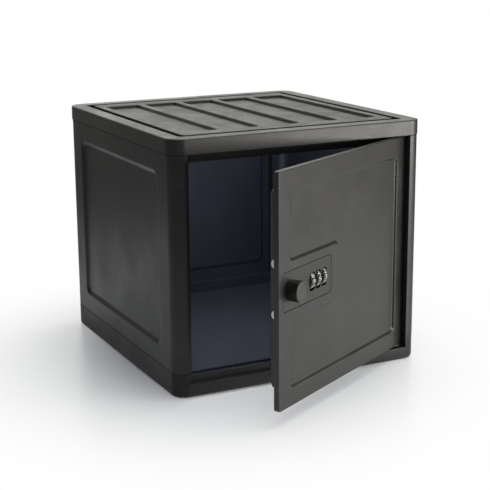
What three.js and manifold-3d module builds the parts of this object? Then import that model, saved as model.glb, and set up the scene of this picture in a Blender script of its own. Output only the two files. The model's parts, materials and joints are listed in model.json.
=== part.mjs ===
// A medication lock box: a moulded casing with a ribbed top, and a hinged front door that carries
// a three-wheel combination lock, a turning knob and two steel bolts.
// Millimetres. X is to the right, Y to the back, Z up. The origin is the centre of the underside.
import * as THREE from "three";
import { mergeVertices } from "three/addons/utils/BufferGeometryUtils.js";
import Module from "manifold-3d";

const wasm = await Module();
wasm.setup();

// Driving dimensions of the casing.
const width = 300;
const depth = 315;
const height = 274;
const cornerRadius = 16;
const capOverhang = 0.8;
const skirtHeight = 16.5;
const baseHeight = 26.6;
const seamGap = 0.4;
const wall = 3.4;
const postWidth = 16.1;
const lapInset = 28;
const lapLength = 6;
const lapNeck = 8;

// The field pressed into each wall, and its sloped border.
const fieldDepth = 2.6;
const fieldSlope = 4.2;
const fieldSideInset = 40;
const fieldLapInset = 10;
const fieldEndInset = 21;
const fieldCornerRadius = 8;

// The base tray.
const baseEdge = 4;
const sillHeight = 14.3;
const floorTop = 16;
const floorThickness = 3;
const baseWall = 6;
const locatingLip = 4.4;
const lipClearance = 0.3;
const ribThickness = 2.4;
const ribCells = 8;
const cornerBlock = 26;
const centreBossRadius = 8;

// The floor mat.
const matThickness = 2.7;
const matSideGap = 4;
const matFrontGap = 16.5;
const matCornerRadius = 10;
const seat = 0.3;

// The rebate that the door shuts against.
const doorRecess = 0.8;
const stopGap = 0.5;
const stopReach = 6.2;
const stopRise = 7.9;
const stopDrop = 9.1;
const stopThickness = 3.4;
const strikePostDepth = 14.6;

// The top cap and the ribbed panel in its well.
const capEdge = 2;
const rimWidth = 16.5;
const rimWall = 3;
const wellDepth = 6.4;
const capPlate = 3;
const skirtWall = 3;
const tongueHeight = 4.5;
const tongueReach = 1.6;
const wellCornerRadius = 5;
const moat = 7;
const panelPockets = 5;
const pocketDepth = 3;
const pocketSlope = 1.2;
const pocketCornerRadius = 4;
const panelSideBorder = 9;
const panelEndBorder = 20;
const panelRib = 8;

// The door's outer panel.
const hingeSideGap = 2.9;
const latchSideGap = 3.9;
const doorBottomGap = 3;
const doorTopGap = 1.3;
const doorPanelThickness = 6;
const doorCornerRadius = 2.5;
const doorEdge = 0.8;
const doorFieldDepth = 2;
const doorFieldSlope = 2.2;
const doorFieldInset = 20.5;
const doorFieldRadius = 7;
const doorFieldFootInset = 18.5;
const landMargin = 14;
const landBelow = 10;
const landAbove = 9;
const landRadius = 5;

// The cover on the door's back.
const coverThickness = 14.5;
const coverWall = 2;
const coverHingeInset = 7;
const coverLatchInset = 14;
const coverEndInset = 15.5;
const coverCornerRadius = 5;
const coverEdge = 4;

// The hinge: two pins on one upright axis inside the door's hinge edge.
const pivotInset = 14;
const pivotDepth = 12.8;
const swingClearance = 1.2;
const pinRadius = 2.5;
const pinClearance = 0.25;
const pinEngagement = 13;
const knuckleRadius = 6;
const washerThickness = 1;
const hingeBossRadius = 7;
const openAngleDegrees = 29.4;

// The lock plate. The lock is placed from the door's free edge and from the casing's underside.
const lockHeight = 136.8;
const plateFromFree = 52.9;
const plateLength = 91;
const plateHeight = 39.2;
const plateThickness = 2;
const plateRadius = 4;
const plateGroove = 0.6;
const plateBossRadius = 3;

// The number wheels.
const wheelsFromFree = 73.1;
const wheelPitch = 11.6;
const wheelRadius = 9.5;
const wheelWidth = 8.4;
const wheelProud = 2.5;
const wheelSlotWidth = 9.6;
const wheelSlotHeight = 19.6;
const digits = 10;
const gripDepth = 0.7;
const spindleRadius = 2;
const runningGap = 0.3;
const lockCaseWall = 1.5;
const lockCaseClearance = 0.5;
const lockCaseBack = 1.2;
const lockCaseTab = 6.5;
const lockTabThickness = 2;
const lockScrewTip = 1.6;

// The knob, its shaft and the pinion.
const knobFromFree = 22.5;
const knobRadius = 10.8;
const knobHeight = 13;
const knobEdge = 1;
const knobDish = 0.5;
const knobDishMargin = 2.4;
const knobCrown = 4;
const shaftRadius = 3;
const collarRadius = 5.4;
const collarThickness = 1.5;
const gearModule = 0.8;
const pinionTeeth = 14;
const pressureAngle = THREE.MathUtils.degToRad(20);
const backlash = 0.24;
const rackAddendum = 0.6;
const pinionThickness = 3.6;
const clipThickness = 0.7;
const clipRadius = 4.6;

// The bolts and the carriage that joins them.
const boltRadius = 5;
const boltLength = 36;
const boltSpacing = 51.4;
const boltDepth = 13.1;
const boltClearance = 0.4;
const boltGuide = 8;
const boltSlotLength = 8;
const carriageThickness = 2.7;
const carriageWidth = 10.4;
const carriageTail = 3;
const rackHeight = 4.4;
const crossPinRadius = 1;
const strikePlateThickness = 1.4;
const strikePlateInset = 1.2;
const strikePlateMargin = 7;
const strikeDepth = 11;

// Fasteners.
const screwShank = 2;
const screwHead = 4;
const screwHeadHeight = 2.6;
const smallShank = 1.3;
const smallHead = 2.7;
const smallHeadHeight = 1.7;
const screwFit = 0.35;
const baseScrewLength = 40;
const capScrewLength = 12;
const strikeScrewLength = 11;
const strikeScrewHead = 1;
const doorScrewTip = 3.4;
const doorScrewInset = 11;
const doorPostRadius = 4;
const bossRadius = 5;

// How finely round shapes are cut.
const arcSteps = 5;
const roundSides = 24;
const screwSides = 10;

// Derived places in the casing.
const halfWidth = width / 2;
const halfDepth = depth / 2;
const bodyX = halfWidth - capOverhang;
const bodyY = halfDepth - capOverhang;
const bodyRadius = cornerRadius - capOverhang;
const skirtBottom = height - skirtHeight;
const wallBottom = baseHeight + seamGap;
const wallTop = skirtBottom - seamGap;
const openHalf = halfWidth - postWidth;
const ceiling = height - wellDepth - capPlate;
const doorFaceY = -bodyY + doorRecess;
const stopY = doorFaceY + doorPanelThickness + stopGap;
const stopX = openHalf - stopReach;
const stopTop = sillHeight + stopRise;
const railBottom = skirtBottom - stopDrop;
const strikeBackY = stopY + strikePostDepth;

// Derived places on the door.
const hingeEdgeX = openHalf - hingeSideGap;
const doorWidth = 2 * openHalf - hingeSideGap - latchSideGap;
const doorBottom = sillHeight + doorBottomGap;
const doorTop = skirtBottom - doorTopGap;
const pivotX = hingeEdgeX - pivotInset;
const pivotY = doorFaceY + pivotDepth;
const swingRadius = Math.hypot(pivotInset, pivotDepth);
const coverBack = doorPanelThickness + coverThickness;
const coverInner = coverBack - coverWall;
const coverBottom = doorBottom + coverEndInset;
const coverTop = doorTop - coverEndInset - 2 * coverWall;
const coverFree = doorWidth - coverLatchInset;
const lowPinBottom = floorTop - pinEngagement + seat;
const lowPinTop = coverBottom - 2;
const highPinBottom = coverTop + 2;
const highPinTop = ceiling + 1;
const knuckleBottom = floorTop + seat + washerThickness + seat;
const knuckleTop = skirtBottom - seat - washerThickness - seat;
const reliefX = pivotX + swingRadius + swingClearance;
const postReach = Math.min(swingRadius, openHalf - pivotX);
const flangeBackY = pivotY - Math.sqrt(swingRadius ** 2 - postReach ** 2) - swingClearance;
const hingePostBackY = pivotY + swingRadius + swingClearance;

// Derived places in the lock.
const plateCentre = doorWidth - plateFromFree;
const wheelCentre = doorWidth - wheelsFromFree;
const knobCentre = doorWidth - knobFromFree;
const pitchRadius = (gearModule * pinionTeeth) / 2;
const gearPitch = Math.PI * gearModule;
const wheelDepth = wheelRadius - wheelProud;
const collarFront = doorPanelThickness + seat;
const pinionFront = collarFront + collarThickness + seat;
const pinionBack = pinionFront + pinionThickness;
const shaftBack = pinionBack + seat + clipThickness;
const carriageFront = shaftBack + 2 * seat;
const carriageBack = carriageFront + carriageThickness;
const carriageStart = coverFree - boltLength - carriageTail;
const boltHeights = [lockHeight + boltSpacing / 2, lockHeight - boltSpacing / 2];

const plastic = new THREE.MeshStandardMaterial({ color: 0x343432, roughness: 0.48, metalness: 0 });
const innerPlastic = new THREE.MeshStandardMaterial({ color: 0x2a2a2c, roughness: 0.55, metalness: 0 });
const matFoam = new THREE.MeshStandardMaterial({ color: 0x3b3f49, roughness: 0.9, metalness: 0 });
const steel = new THREE.MeshStandardMaterial({ color: 0xb9b7b2, roughness: 0.3, metalness: 1 });
const springSteel = new THREE.MeshStandardMaterial({ color: 0x8f9092, roughness: 0.35, metalness: 1 });
const wheelPlastic = new THREE.MeshStandardMaterial({ color: 0x1c1c1c, roughness: 0.5, metalness: 0 });
const nylon = new THREE.MeshStandardMaterial({ color: 0xd8d6cf, roughness: 0.6, metalness: 0 });

// Turns a closed three.js geometry into a solid that can be joined and cut.
function solid(geometry) {
  const bare = geometry.clone();
  bare.deleteAttribute("normal");
  bare.deleteAttribute("uv");
  const merged = mergeVertices(bare, 1e-4);
  const mesh = new wasm.Mesh({
    numProp: 3,
    vertProperties: new Float32Array(merged.attributes.position.array),
    triVerts: new Uint32Array(merged.index.array),
  });
  return new wasm.Manifold(mesh);
}

// Turns a solid back into a geometry, for a mesh or for a move.
function geometryOf(shape) {
  const mesh = shape.getMesh();
  return new THREE.BufferGeometry()
    .setAttribute("position", new THREE.BufferAttribute(new Float32Array(mesh.vertProperties), 3))
    .setIndex(new THREE.BufferAttribute(new Uint32Array(mesh.triVerts), 1));
}

// Mirrors a solid from the right-hand side of the casing to the left.
function mirrored(shape) {
  const geometry = geometryOf(shape).scale(-1, 1, 1);
  const index = geometry.index.array;
  for (let i = 0; i < index.length; i += 3) {
    [index[i], index[i + 1]] = [index[i + 1], index[i]];
  }
  return solid(geometry);
}

// A mesh with flat faces from a solid.
function part(name, shape, material) {
  const geometry = geometryOf(shape).toNonIndexed();
  geometry.computeVertexNormals();
  const mesh = new THREE.Mesh(geometry, material);
  mesh.name = name;
  return mesh;
}

// A plain block between two corners.
function block(x0, x1, y0, y1, z0, z1) {
  const geometry = new THREE.BoxGeometry(x1 - x0, y1 - y0, z1 - z0);
  return solid(geometry.translate((x0 + x1) / 2, (y0 + y1) / 2, (z0 + z1) / 2));
}

// A rectangle with round corners.
function roundRect(x0, x1, y0, y1, radius) {
  const r = Math.min(radius, (x1 - x0) / 2.01, (y1 - y0) / 2.01);
  const shape = new THREE.Shape();
  shape.moveTo(x0 + r, y0);
  shape.lineTo(x1 - r, y0);
  shape.absarc(x1 - r, y0 + r, r, -Math.PI / 2, 0, false);
  shape.lineTo(x1, y1 - r);
  shape.absarc(x1 - r, y1 - r, r, 0, Math.PI / 2, false);
  shape.lineTo(x0 + r, y1);
  shape.absarc(x0 + r, y1 - r, r, Math.PI / 2, Math.PI, false);
  shape.lineTo(x0, y0 + r);
  shape.absarc(x0 + r, y0 + r, r, Math.PI, 1.5 * Math.PI, false);
  return shape;
}

// A closed outline of straight sides with a round at each corner: points are [x, y, radius].
function roundedOutline(corners) {
  const shape = new THREE.Shape();
  corners.forEach(([x, y, radius], i) => {
    const before = corners[(i + corners.length - 1) % corners.length];
    const after = corners[(i + 1) % corners.length];
    const corner = new THREE.Vector2(x, y);
    const back = new THREE.Vector2(before[0] - x, before[1] - y).normalize();
    const ahead = new THREE.Vector2(after[0] - x, after[1] - y).normalize();
    const start = corner.clone().addScaledVector(back, radius);
    const end = corner.clone().addScaledVector(ahead, radius);
    if (i === 0) shape.moveTo(start.x, start.y);
    else shape.lineTo(start.x, start.y);
    const centre = start.clone().addScaledVector(ahead, radius);
    const from = Math.atan2(start.y - centre.y, start.x - centre.x);
    const turn = back.x * ahead.y - back.y * ahead.x > 0 ? -Math.PI / 2 : Math.PI / 2;
    if (radius > 0) {
      for (let k = 1; k < arcSteps; k++) {
        const angle = from + (turn * k) / arcSteps;
        shape.lineTo(centre.x + radius * Math.cos(angle), centre.y + radius * Math.sin(angle));
      }
      shape.lineTo(end.x, end.y);
    }
  });
  return shape;
}

// An upright prism of a plan outline.
function prism(shape, z0, z1) {
  const geometry = new THREE.ExtrudeGeometry(shape, {
    depth: z1 - z0,
    bevelEnabled: false,
    curveSegments: arcSteps,
  });
  return solid(geometry.translate(0, 0, z0));
}

// A prism whose outline grows by the slope over the first and last stretch of its length.
function slopedPrism(shape, z0, z1, rise, slope, steps = 1) {
  const geometry = new THREE.ExtrudeGeometry(shape, {
    depth: z1 - z0 - 2 * rise,
    bevelEnabled: true,
    bevelThickness: rise,
    bevelSize: slope,
    bevelSegments: steps,
    curveSegments: arcSteps,
  });
  return geometry.translate(0, 0, z0 + rise);
}

// A round bar along Z, X or Y from one end to the other.
function bar(axis, a, b, from, to, radius, sides = roundSides) {
  const geometry = new THREE.CylinderGeometry(radius, radius, to - from, sides);
  const middle = (from + to) / 2;
  if (axis === "z") geometry.rotateX(Math.PI / 2).translate(a, b, middle);
  if (axis === "x") geometry.rotateZ(Math.PI / 2).translate(middle, a, b);
  if (axis === "y") geometry.translate(a, middle, b);
  return solid(geometry);
}

// A pan-head screw along +Z: its shank ends at zero and its head stands past the shank's length.
function screwShape(length, shank, head, headHeight) {
  const profile = [
    [0, 0],
    [shank * 0.6, 0],
    [shank, shank],
    [shank, length],
    [head, length],
    [head, length + headHeight * 0.55],
    [head * 0.6, length + headHeight],
    [0, length + headHeight],
  ].map(([x, y]) => new THREE.Vector2(x, y));
  return new THREE.LatheGeometry(profile, screwSides).rotateX(Math.PI / 2);
}

// The field pressed into the outside of a wall, in the wall's own plane, with its surface at zero.
function fieldCut(x0, x1, z0, z1, floorDepth, slope, radius) {
  const shape = roundRect(x0 + slope, x1 - slope, z0 + slope, z1 - slope, radius - slope / 2);
  return slopedPrism(shape, -floorDepth, 3 * floorDepth, floorDepth, slope);
}

// Stands a shape drawn in a wall's plane so that its height is Z and its outside faces +X.
function facingRight(geometry) {
  const basis = new THREE.Matrix4().makeBasis(
    new THREE.Vector3(0, 1, 0),
    new THREE.Vector3(0, 0, 1),
    new THREE.Vector3(1, 0, 0),
  );
  return geometry.applyMatrix4(basis);
}

// The same, with the outside facing +Y.
function facingBack(geometry) {
  const basis = new THREE.Matrix4().makeBasis(
    new THREE.Vector3(-1, 0, 0),
    new THREE.Vector3(0, 0, 1),
    new THREE.Vector3(0, 1, 0),
  );
  return geometry.applyMatrix4(basis);
}

// The same, with the outside facing -Y, as the door's front does.
function facingFront(geometry) {
  return geometry.rotateX(Math.PI / 2);
}

// Where the casing's four screws rise from the base into the walls.
const rearPost = [bodyX - wall - bossRadius + 0.6, bodyY - wall - bossRadius + 0.6];
const strikeScrew = [(bodyX + stopX) / 2, (stopY + strikeBackY) / 2];
const hingeScrew = [(bodyX + reliefX) / 2, (flangeBackY + hingePostBackY) / 2];
const baseScrewPlaces = [
  [-strikeScrew[0], strikeScrew[1]],
  [hingeScrew[0], hingeScrew[1]],
  [-rearPost[0], rearPost[1]],
  [rearPost[0], rearPost[1]],
];
const baseScrewHeadTop = screwHeadHeight + 1.4;
const baseScrewTop = baseScrewHeadTop + baseScrewLength;

// Where the cap is screwed to tabs on the side walls.
const tabReach = 2 * bossRadius + 1;
const tabThickness = 4;
const capScrewX = bodyX - wall - bossRadius;
const capScrewYs = [fieldSideInset - bodyY, bodyY - rimWidth - 3 * bossRadius];

// The base tray: sill and stop at the front, ribs beneath, locating lips for the walls.
function makeBaseTray() {
  const edge = baseEdge;
  const shape = roundRect(-bodyX + edge, bodyX - edge, -bodyY + edge, bodyY - edge, bodyRadius - edge);
  const full = solid(slopedPrism(shape, 0, baseHeight + 2 * edge, edge, edge, 3));
  let tray = full.intersect(block(-width, width, -depth, depth, 0, baseHeight));
  const innerX = bodyX - baseWall;
  const innerY = bodyY - baseWall;
  tray = tray.subtract(block(-innerX, innerX, strikeBackY, innerY, floorTop, height));
  tray = tray.subtract(block(-stopX, reliefX, stopY + stopThickness, strikeBackY + 1, floorTop, height));
  tray = tray.subtract(block(-openHalf, openHalf, -depth, stopY, sillHeight, height));
  tray = tray.subtract(block(-stopX, openHalf, stopY - 1, stopY + stopThickness + 1, stopTop, height));
  const stopEnd = pivotX - knuckleRadius - swingClearance;
  tray = tray.subtract(block(stopEnd, reliefX, flangeBackY, strikeBackY + 1, floorTop, height));
  tray = tray.subtract(block(openHalf - 1, reliefX, flangeBackY, strikeBackY + 1, floorTop, height));
  tray = tray.subtract(underRibs());
  tray = tray.add(bar("z", pivotX, pivotY, 2, floorTop, hingeBossRadius));
  tray = tray.subtract(bar("z", pivotX, pivotY, lowPinBottom - seat, height, pinRadius + pinClearance));
  const lipOuterX = bodyX - wall - lipClearance;
  const lipOuterY = bodyY - wall - lipClearance;
  const lipTop = baseHeight + locatingLip;
  const lipFront = hingePostBackY + 2 * bossRadius;
  const lipBack = rearPost[1] - bossRadius - 4;
  const sideLip = block(innerX, lipOuterX, lipFront, lipBack, baseHeight - 1, lipTop);
  tray = tray.add(sideLip).add(mirrored(sideLip));
  const rearLipEnd = rearPost[0] - bossRadius - 4;
  tray = tray.add(block(-rearLipEnd, rearLipEnd, innerY, lipOuterY, baseHeight - 1, lipTop));
  for (const [x, y] of baseScrewPlaces) {
    tray = tray.subtract(bar("z", x, y, -1, baseScrewHeadTop + seat, screwHead + screwFit, screwSides + 6));
    tray = tray.subtract(bar("z", x, y, 0, height, screwShank + screwFit, screwSides + 2));
  }
  return tray;
}

// The cells between the ribs under the floor, clear of the screw corners, the hinge boss and the centre.
function underRibs() {
  const top = floorTop - floorThickness;
  const insideX = bodyX - baseWall;
  const insideY = bodyY - baseWall;
  const cellX = (2 * insideX) / ribCells;
  const cellY = (2 * insideY) / ribCells;
  let cells = null;
  for (let i = 0; i < ribCells; i++) {
    for (let j = 0; j < ribCells; j++) {
      const atCorner = (i === 0 || i === ribCells - 1) && (j === 0 || j === ribCells - 1);
      const inset = atCorner ? cornerBlock - baseWall : 0;
      const x0 = -insideX + i * cellX + ribThickness / 2 + (i === 0 ? inset : 0);
      const x1 = -insideX + (i + 1) * cellX - ribThickness / 2 - (i === ribCells - 1 ? inset : 0);
      const y0 = -insideY + j * cellY + ribThickness / 2;
      const y1 = -insideY + (j + 1) * cellY - ribThickness / 2;
      const frontTop = y0 < stopY ? Math.min(top, sillHeight - floorThickness) : top;
      const cell = block(x0, x1, y0, y1, -1, frontTop);
      cells = cells ? cells.add(cell) : cell;
    }
  }
  const boss = bar("z", 0, 0, -2, height, centreBossRadius);
  return cells.subtract(boss);
}

// A side wall as it stands on the right, with either the hinge post or the strike post at its front.
function makeSideWall(isHingeSide) {
  const r = bodyRadius;
  const shape = new THREE.Shape();
  const lapEnd = bodyX - lapInset;
  const inner = bodyX - wall;
  shape.moveTo(openHalf, -bodyY);
  shape.lineTo(bodyX - r, -bodyY);
  shape.absarc(bodyX - r, -bodyY + r, r, -Math.PI / 2, 0, false);
  shape.lineTo(bodyX, bodyY - r);
  shape.absarc(bodyX - r, bodyY - r, r, 0, Math.PI / 2, false);
  shape.lineTo(lapEnd, bodyY);
  shape.lineTo(lapEnd, bodyY - wall / 2);
  shape.lineTo(lapEnd + lapLength, bodyY - wall / 2);
  shape.lineTo(lapEnd + lapLength, bodyY - wall);
  shape.lineTo(bodyX - r, bodyY - wall);
  shape.absarc(bodyX - r, bodyY - r, r - wall, Math.PI / 2, 0, true);
  if (isHingeSide) {
    shape.lineTo(inner, hingePostBackY);
    shape.lineTo(reliefX, hingePostBackY);
    shape.lineTo(reliefX, flangeBackY);
    shape.lineTo(openHalf, flangeBackY);
  } else {
    shape.lineTo(inner, strikeBackY);
    shape.lineTo(stopX, strikeBackY);
    shape.lineTo(stopX, stopY);
    shape.lineTo(openHalf, stopY);
  }
  let made = prism(shape, wallBottom, wallTop);
  const y0 = -bodyY + fieldSideInset;
  const y1 = bodyY - fieldSideInset;
  const z0 = baseHeight + fieldEndInset;
  const z1 = skirtBottom - fieldEndInset;
  const cut = fieldCut(y0, y1, z0, z1, fieldDepth, fieldSlope, fieldCornerRadius);
  const pad = fieldCut(y0 - 1, y1 + 1, z0 - 1, z1 + 1, fieldDepth, fieldSlope, fieldCornerRadius);
  made = made.add(solid(facingRight(pad.translate(0, 0, inner))).intersect(padKeep(inner)));
  made = made.subtract(solid(facingRight(cut.translate(0, 0, bodyX))));
  const tongueFoot = block(inner - tongueReach, inner + 1, lipStart(), lipStop(), wallTop - 7, wallTop);
  const tongueEnd = halfWidth - skirtWall - lipClearance;
  const tongueTop = wallTop + tongueHeight;
  const tongue = block(inner - tongueReach, tongueEnd, lipStart(), lipStop(), wallTop - 1, tongueTop);
  made = made.add(tongueFoot).add(tongue);
  made = made.add(rearBoss());
  const base = isHingeSide ? hingeScrew : strikeScrew;
  for (const [x, y] of [base, rearPost]) {
    made = made.subtract(bar("z", x, y, 0, baseScrewTop + seat, screwShank + screwFit, screwSides + 2));
  }
  for (const y of capScrewYs) {
    const tabBottom = wallTop - tabThickness;
    made = made.add(block(inner - tabReach, inner + 1, y - bossRadius, y + bossRadius, tabBottom, wallTop));
    const hole = bar("z", capScrewX, y, tabBottom - 1, wallTop + 1, screwShank + screwFit, screwSides + 2);
    made = made.subtract(hole);
  }
  if (!isHingeSide) made = made.subtract(strikeCuts());
  return made;
}

// Keeps only the part of a pad that stands inside the wall's inner face.
function padKeep(inner) {
  return block(inner - fieldDepth - 0.001, inner + wall / 2, -depth, depth, 0, height);
}

// The stretch along a side wall that carries the tongue for the cap.
function lipStart() {
  return capScrewYs[0] + bossRadius + 4;
}

function lipStop() {
  return capScrewYs[1] - bossRadius - 4;
}

// The boss in the rear corner that takes a screw from the base.
function rearBoss() {
  const [x, y] = rearPost;
  const top = baseScrewTop + 4;
  const round = bar("z", x, y, wallBottom, top, bossRadius, screwSides + 6);
  return round.add(block(x, bodyX - wall / 2, y, bodyY - wall / 2, wallBottom, top).intersect(cornerFill()));
}

// The inside of the casing's rounded plan, which keeps a corner boss within the wall.
function cornerFill() {
  const inset = wall / 2;
  const shape = roundRect(-bodyX + inset, bodyX - inset, -bodyY + inset, bodyY - inset, bodyRadius - inset);
  return prism(shape, 0, height);
}

// Bolt holes, and the seat of the strike plate with its screws, in the strike post.
function strikeCuts() {
  const boltY = doorFaceY + boltDepth;
  const top = boltHeights[0] + boltRadius + strikePlateMargin;
  const bottom = boltHeights[1] - boltRadius - strikePlateMargin;
  const y0 = stopY + strikePlateInset;
  const seatDepth = strikePlateThickness + seat;
  let cuts = block(stopX - 1, stopX + seatDepth, y0, strikeBackY + 1, bottom - seat, top + seat);
  for (const z of boltHeights) {
    cuts = cuts.add(bar("x", boltY, z, stopX - 1, stopX + strikeDepth, boltRadius + boltClearance));
  }
  for (const z of strikeScrewHeights) {
    const end = stopX + strikeScrewLength + seat;
    cuts = cuts.add(bar("x", boltY, z, stopX - 1, end, smallShank + screwFit, screwSides));
  }
  return cuts;
}

// The strike plate's screws sit between the bolt holes, clear of the rack's nose.
const strikeScrewHeights = [lockHeight + 0.3 * boltSpacing, lockHeight - 0.3 * boltSpacing];

function makeStrikePlate() {
  const boltY = doorFaceY + boltDepth;
  const top = boltHeights[0] + boltRadius + strikePlateMargin;
  const bottom = boltHeights[1] - boltRadius - strikePlateMargin;
  const front = stopY + strikePlateInset + seat;
  let plate = block(stopX, stopX + strikePlateThickness, front, strikeBackY, bottom, top);
  for (const z of boltHeights) {
    plate = plate.subtract(bar("x", boltY, z, 0, width, boltRadius + boltClearance));
  }
  for (const z of strikeScrewHeights) {
    plate = plate.subtract(bar("x", boltY, z, 0, width, smallShank + screwFit, screwSides));
  }
  return mirrored(plate);
}

// The rear wall, lapped behind the side walls' rear posts.
function makeRearWall() {
  const lapEnd = bodyX - lapInset;
  const outer = block(-lapEnd + seamGap, lapEnd - seamGap, bodyY - wall / 2, bodyY, wallBottom, wallTop);
  const reach = lapEnd + lapLength - seamGap;
  const gap = seamGap / 2;
  let made = outer.add(block(-reach, reach, bodyY - wall, bodyY - wall / 2 - gap, wallBottom, wallTop));
  made = made.add(block(lapNeck - lapEnd, lapEnd - lapNeck, bodyY - wall, bodyY, wallBottom, wallTop));
  const x1 = lapEnd - fieldLapInset;
  const z0 = baseHeight + fieldEndInset;
  const z1 = skirtBottom - fieldEndInset;
  const cut = fieldCut(-x1, x1, z0, z1, fieldDepth, fieldSlope, fieldCornerRadius);
  const pad = fieldCut(-x1 - 1, x1 + 1, z0 - 1, z1 + 1, fieldDepth, fieldSlope, fieldCornerRadius);
  const inner = bodyY - wall;
  const keep = block(-width, width, inner - fieldDepth - 0.001, inner + wall / 4, 0, height);
  made = made.add(solid(facingBack(pad.translate(0, 0, inner))).intersect(keep));
  return made.subtract(solid(facingBack(cut.translate(0, 0, bodyY))));
}

// The top cap: skirt, hollow rim, well for the ribbed panel, header beam and the stop rail behind it.
function makeTopCap() {
  const edge = capEdge;
  const plan = roundRect(
    -halfWidth + edge, halfWidth - edge, -halfDepth + edge, halfDepth - edge, cornerRadius - edge,
  );
  const full = solid(slopedPrism(plan, skirtBottom - 2 * edge, height, edge, edge, 3));
  let cap = full.intersect(block(-width, width, -depth, depth, skirtBottom, height));
  const wellX = halfWidth - rimWidth;
  const wellY = halfDepth - rimWidth;
  const well = roundRect(-wellX, wellX, -wellY, wellY, wellCornerRadius);
  cap = cap.subtract(prism(well, height - wellDepth, height + 1));
  const inX = halfWidth - skirtWall;
  const inY = halfDepth - skirtWall;
  const inside = roundRect(-inX, inX, -inY, inY, cornerRadius - skirtWall);
  cap = cap.subtract(prism(inside, 0, ceiling));
  const channelX = wellX + rimWall;
  const channelY = wellY + rimWall;
  const core = block(-channelX, channelX, -channelY, channelY, 0, height);
  cap = cap.subtract(prism(inside, 0, height - rimWall).subtract(core));
  const postTop = skirtBottom;
  const beamBack = stopY + stopThickness;
  cap = cap.add(block(-openHalf, openHalf, -inY - 1, beamBack, postTop, height - rimWall));
  const railEnd = pivotX - knuckleRadius - swingClearance;
  cap = cap.add(block(-stopX + seamGap, railEnd, stopY, beamBack, railBottom, ceiling));
  cap = cap.add(bar("z", pivotX, pivotY, skirtBottom, height - wellDepth, hingeBossRadius));
  cap = cap.subtract(bar("z", pivotX, pivotY, 0, highPinTop + seat, pinRadius + pinClearance));
  for (const y of capScrewYs) {
    for (const x of [-capScrewX, capScrewX]) {
      cap = cap.add(bar("z", x, y, skirtBottom, height - rimWall, bossRadius, screwSides + 6));
      const top = wallTop - tabThickness + capScrewLength + seat;
      cap = cap.subtract(bar("z", x, y, 0, top, screwShank + screwFit, screwSides + 2));
    }
  }
  return cap;
}

// The panel in the cap's well, with long pockets between ribs that run front to back.
function makeTopPanel() {
  const x = halfWidth - rimWidth - moat;
  const y = halfDepth - rimWidth - moat;
  const bottom = height - wellDepth + seat;
  let panel = prism(roundRect(-x, x, -y, y, wellCornerRadius), bottom, height);
  const pocketWidth = (2 * x - 2 * panelSideBorder - (panelPockets - 1) * panelRib) / panelPockets;
  const slope = pocketSlope;
  for (let i = 0; i < panelPockets; i++) {
    const x0 = -x + panelSideBorder + i * (pocketWidth + panelRib);
    const y1 = y - panelEndBorder;
    const floor = roundRect(
      x0 + slope, x0 + pocketWidth - slope, -y1 + slope, y1 - slope, pocketCornerRadius,
    );
    const cutter = slopedPrism(floor, -pocketDepth, 3 * pocketDepth, pocketDepth, slope);
    panel = panel.subtract(solid(cutter.translate(0, 0, height)));
  }
  return panel;
}

// The mat on the floor, notched where the door's hinge edge swings over it.
function makeFloorMat() {
  const x = bodyX - baseWall - matSideGap;
  const y0 = stopY + stopThickness + matFrontGap;
  const y1 = bodyY - baseWall - matSideGap;
  const bottom = floorTop + seat;
  const plan = roundRect(-x, x, y0, y1, matCornerRadius);
  const notchX = pivotX - swingRadius - swingClearance;
  const notchY = pivotY + swingRadius + swingClearance;
  const mat = prism(plan, bottom, bottom + matThickness);
  return mat.subtract(block(notchX, width, -depth, notchY, 0, height));
}

// Door pieces are drawn with the hinge axis at the origin, as they stand when the door is shut.
function alongDoor(fromHingeEdge) {
  return pivotInset - fromHingeEdge;
}

function intoDoor(fromFace) {
  return fromFace - pivotDepth;
}

// A prism through the door of an outline drawn from the front, between two depths.
function doorPrism(shape, from, to) {
  const geometry = new THREE.ExtrudeGeometry(shape, {
    depth: to - from,
    bevelEnabled: false,
    curveSegments: arcSteps,
  });
  return solid(facingFront(geometry.translate(0, 0, -to)).translate(0, intoDoor(0), 0));
}

// A rectangle on the door, from two distances from the hinge edge and two heights.
function doorRect(s0, s1, z0, z1, radius) {
  return roundRect(alongDoor(s1), alongDoor(s0), z0, z1, radius);
}

function makeDoorPanel() {
  const e = doorEdge;
  const outline = doorRect(e, doorWidth - e, doorBottom + e, doorTop - e, doorCornerRadius);
  const bevelled = slopedPrism(outline, -2 * doorPanelThickness, 0, e, e, 2);
  let panel = solid(facingFront(bevelled).translate(0, intoDoor(0), 0));
  const keep = doorRect(-5, doorWidth + 5, 0, height, 1);
  panel = panel.intersect(doorPrism(keep, -1, doorPanelThickness));
  panel = panel.subtract(doorField());
  const p = plateBox();
  const g = plateGroove;
  const pocket = doorRect(p.s0 - g, p.s1 + g, p.z0 - g, p.z1 + g, plateRadius + g);
  panel = panel.subtract(doorPrism(pocket, -1, plateThickness + seat));
  const c = lockCaseBox();
  const window = doorRect(c.s0 - seat, c.s1 + seat, c.z0 - seat, c.z1 + seat, 1.5);
  panel = panel.subtract(doorPrism(window, 0, doorPanelThickness + 1));
  panel = panel.subtract(doorBar(knobCentre, lockHeight, 0, doorPanelThickness + 1, shaftRadius + 0.6));
  for (const z of lockScrewHeights) {
    panel = panel.subtract(doorBar(wheelCentre, z, 0, doorPanelThickness + 1, plateBossRadius + seat));
  }
  for (const [s, z] of doorScrewPlaces()) {
    const tip = doorScrewTip - seat;
    panel = panel.subtract(doorBar(s, z, tip, doorPanelThickness + 1, smallShank + screwFit, screwSides));
  }
  return panel;
}

// A round bar along the door's thickness.
function doorBar(s, z, from, to, radius, sides = roundSides) {
  return bar("y", alongDoor(s), z, intoDoor(from), intoDoor(to), radius, sides);
}

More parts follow.
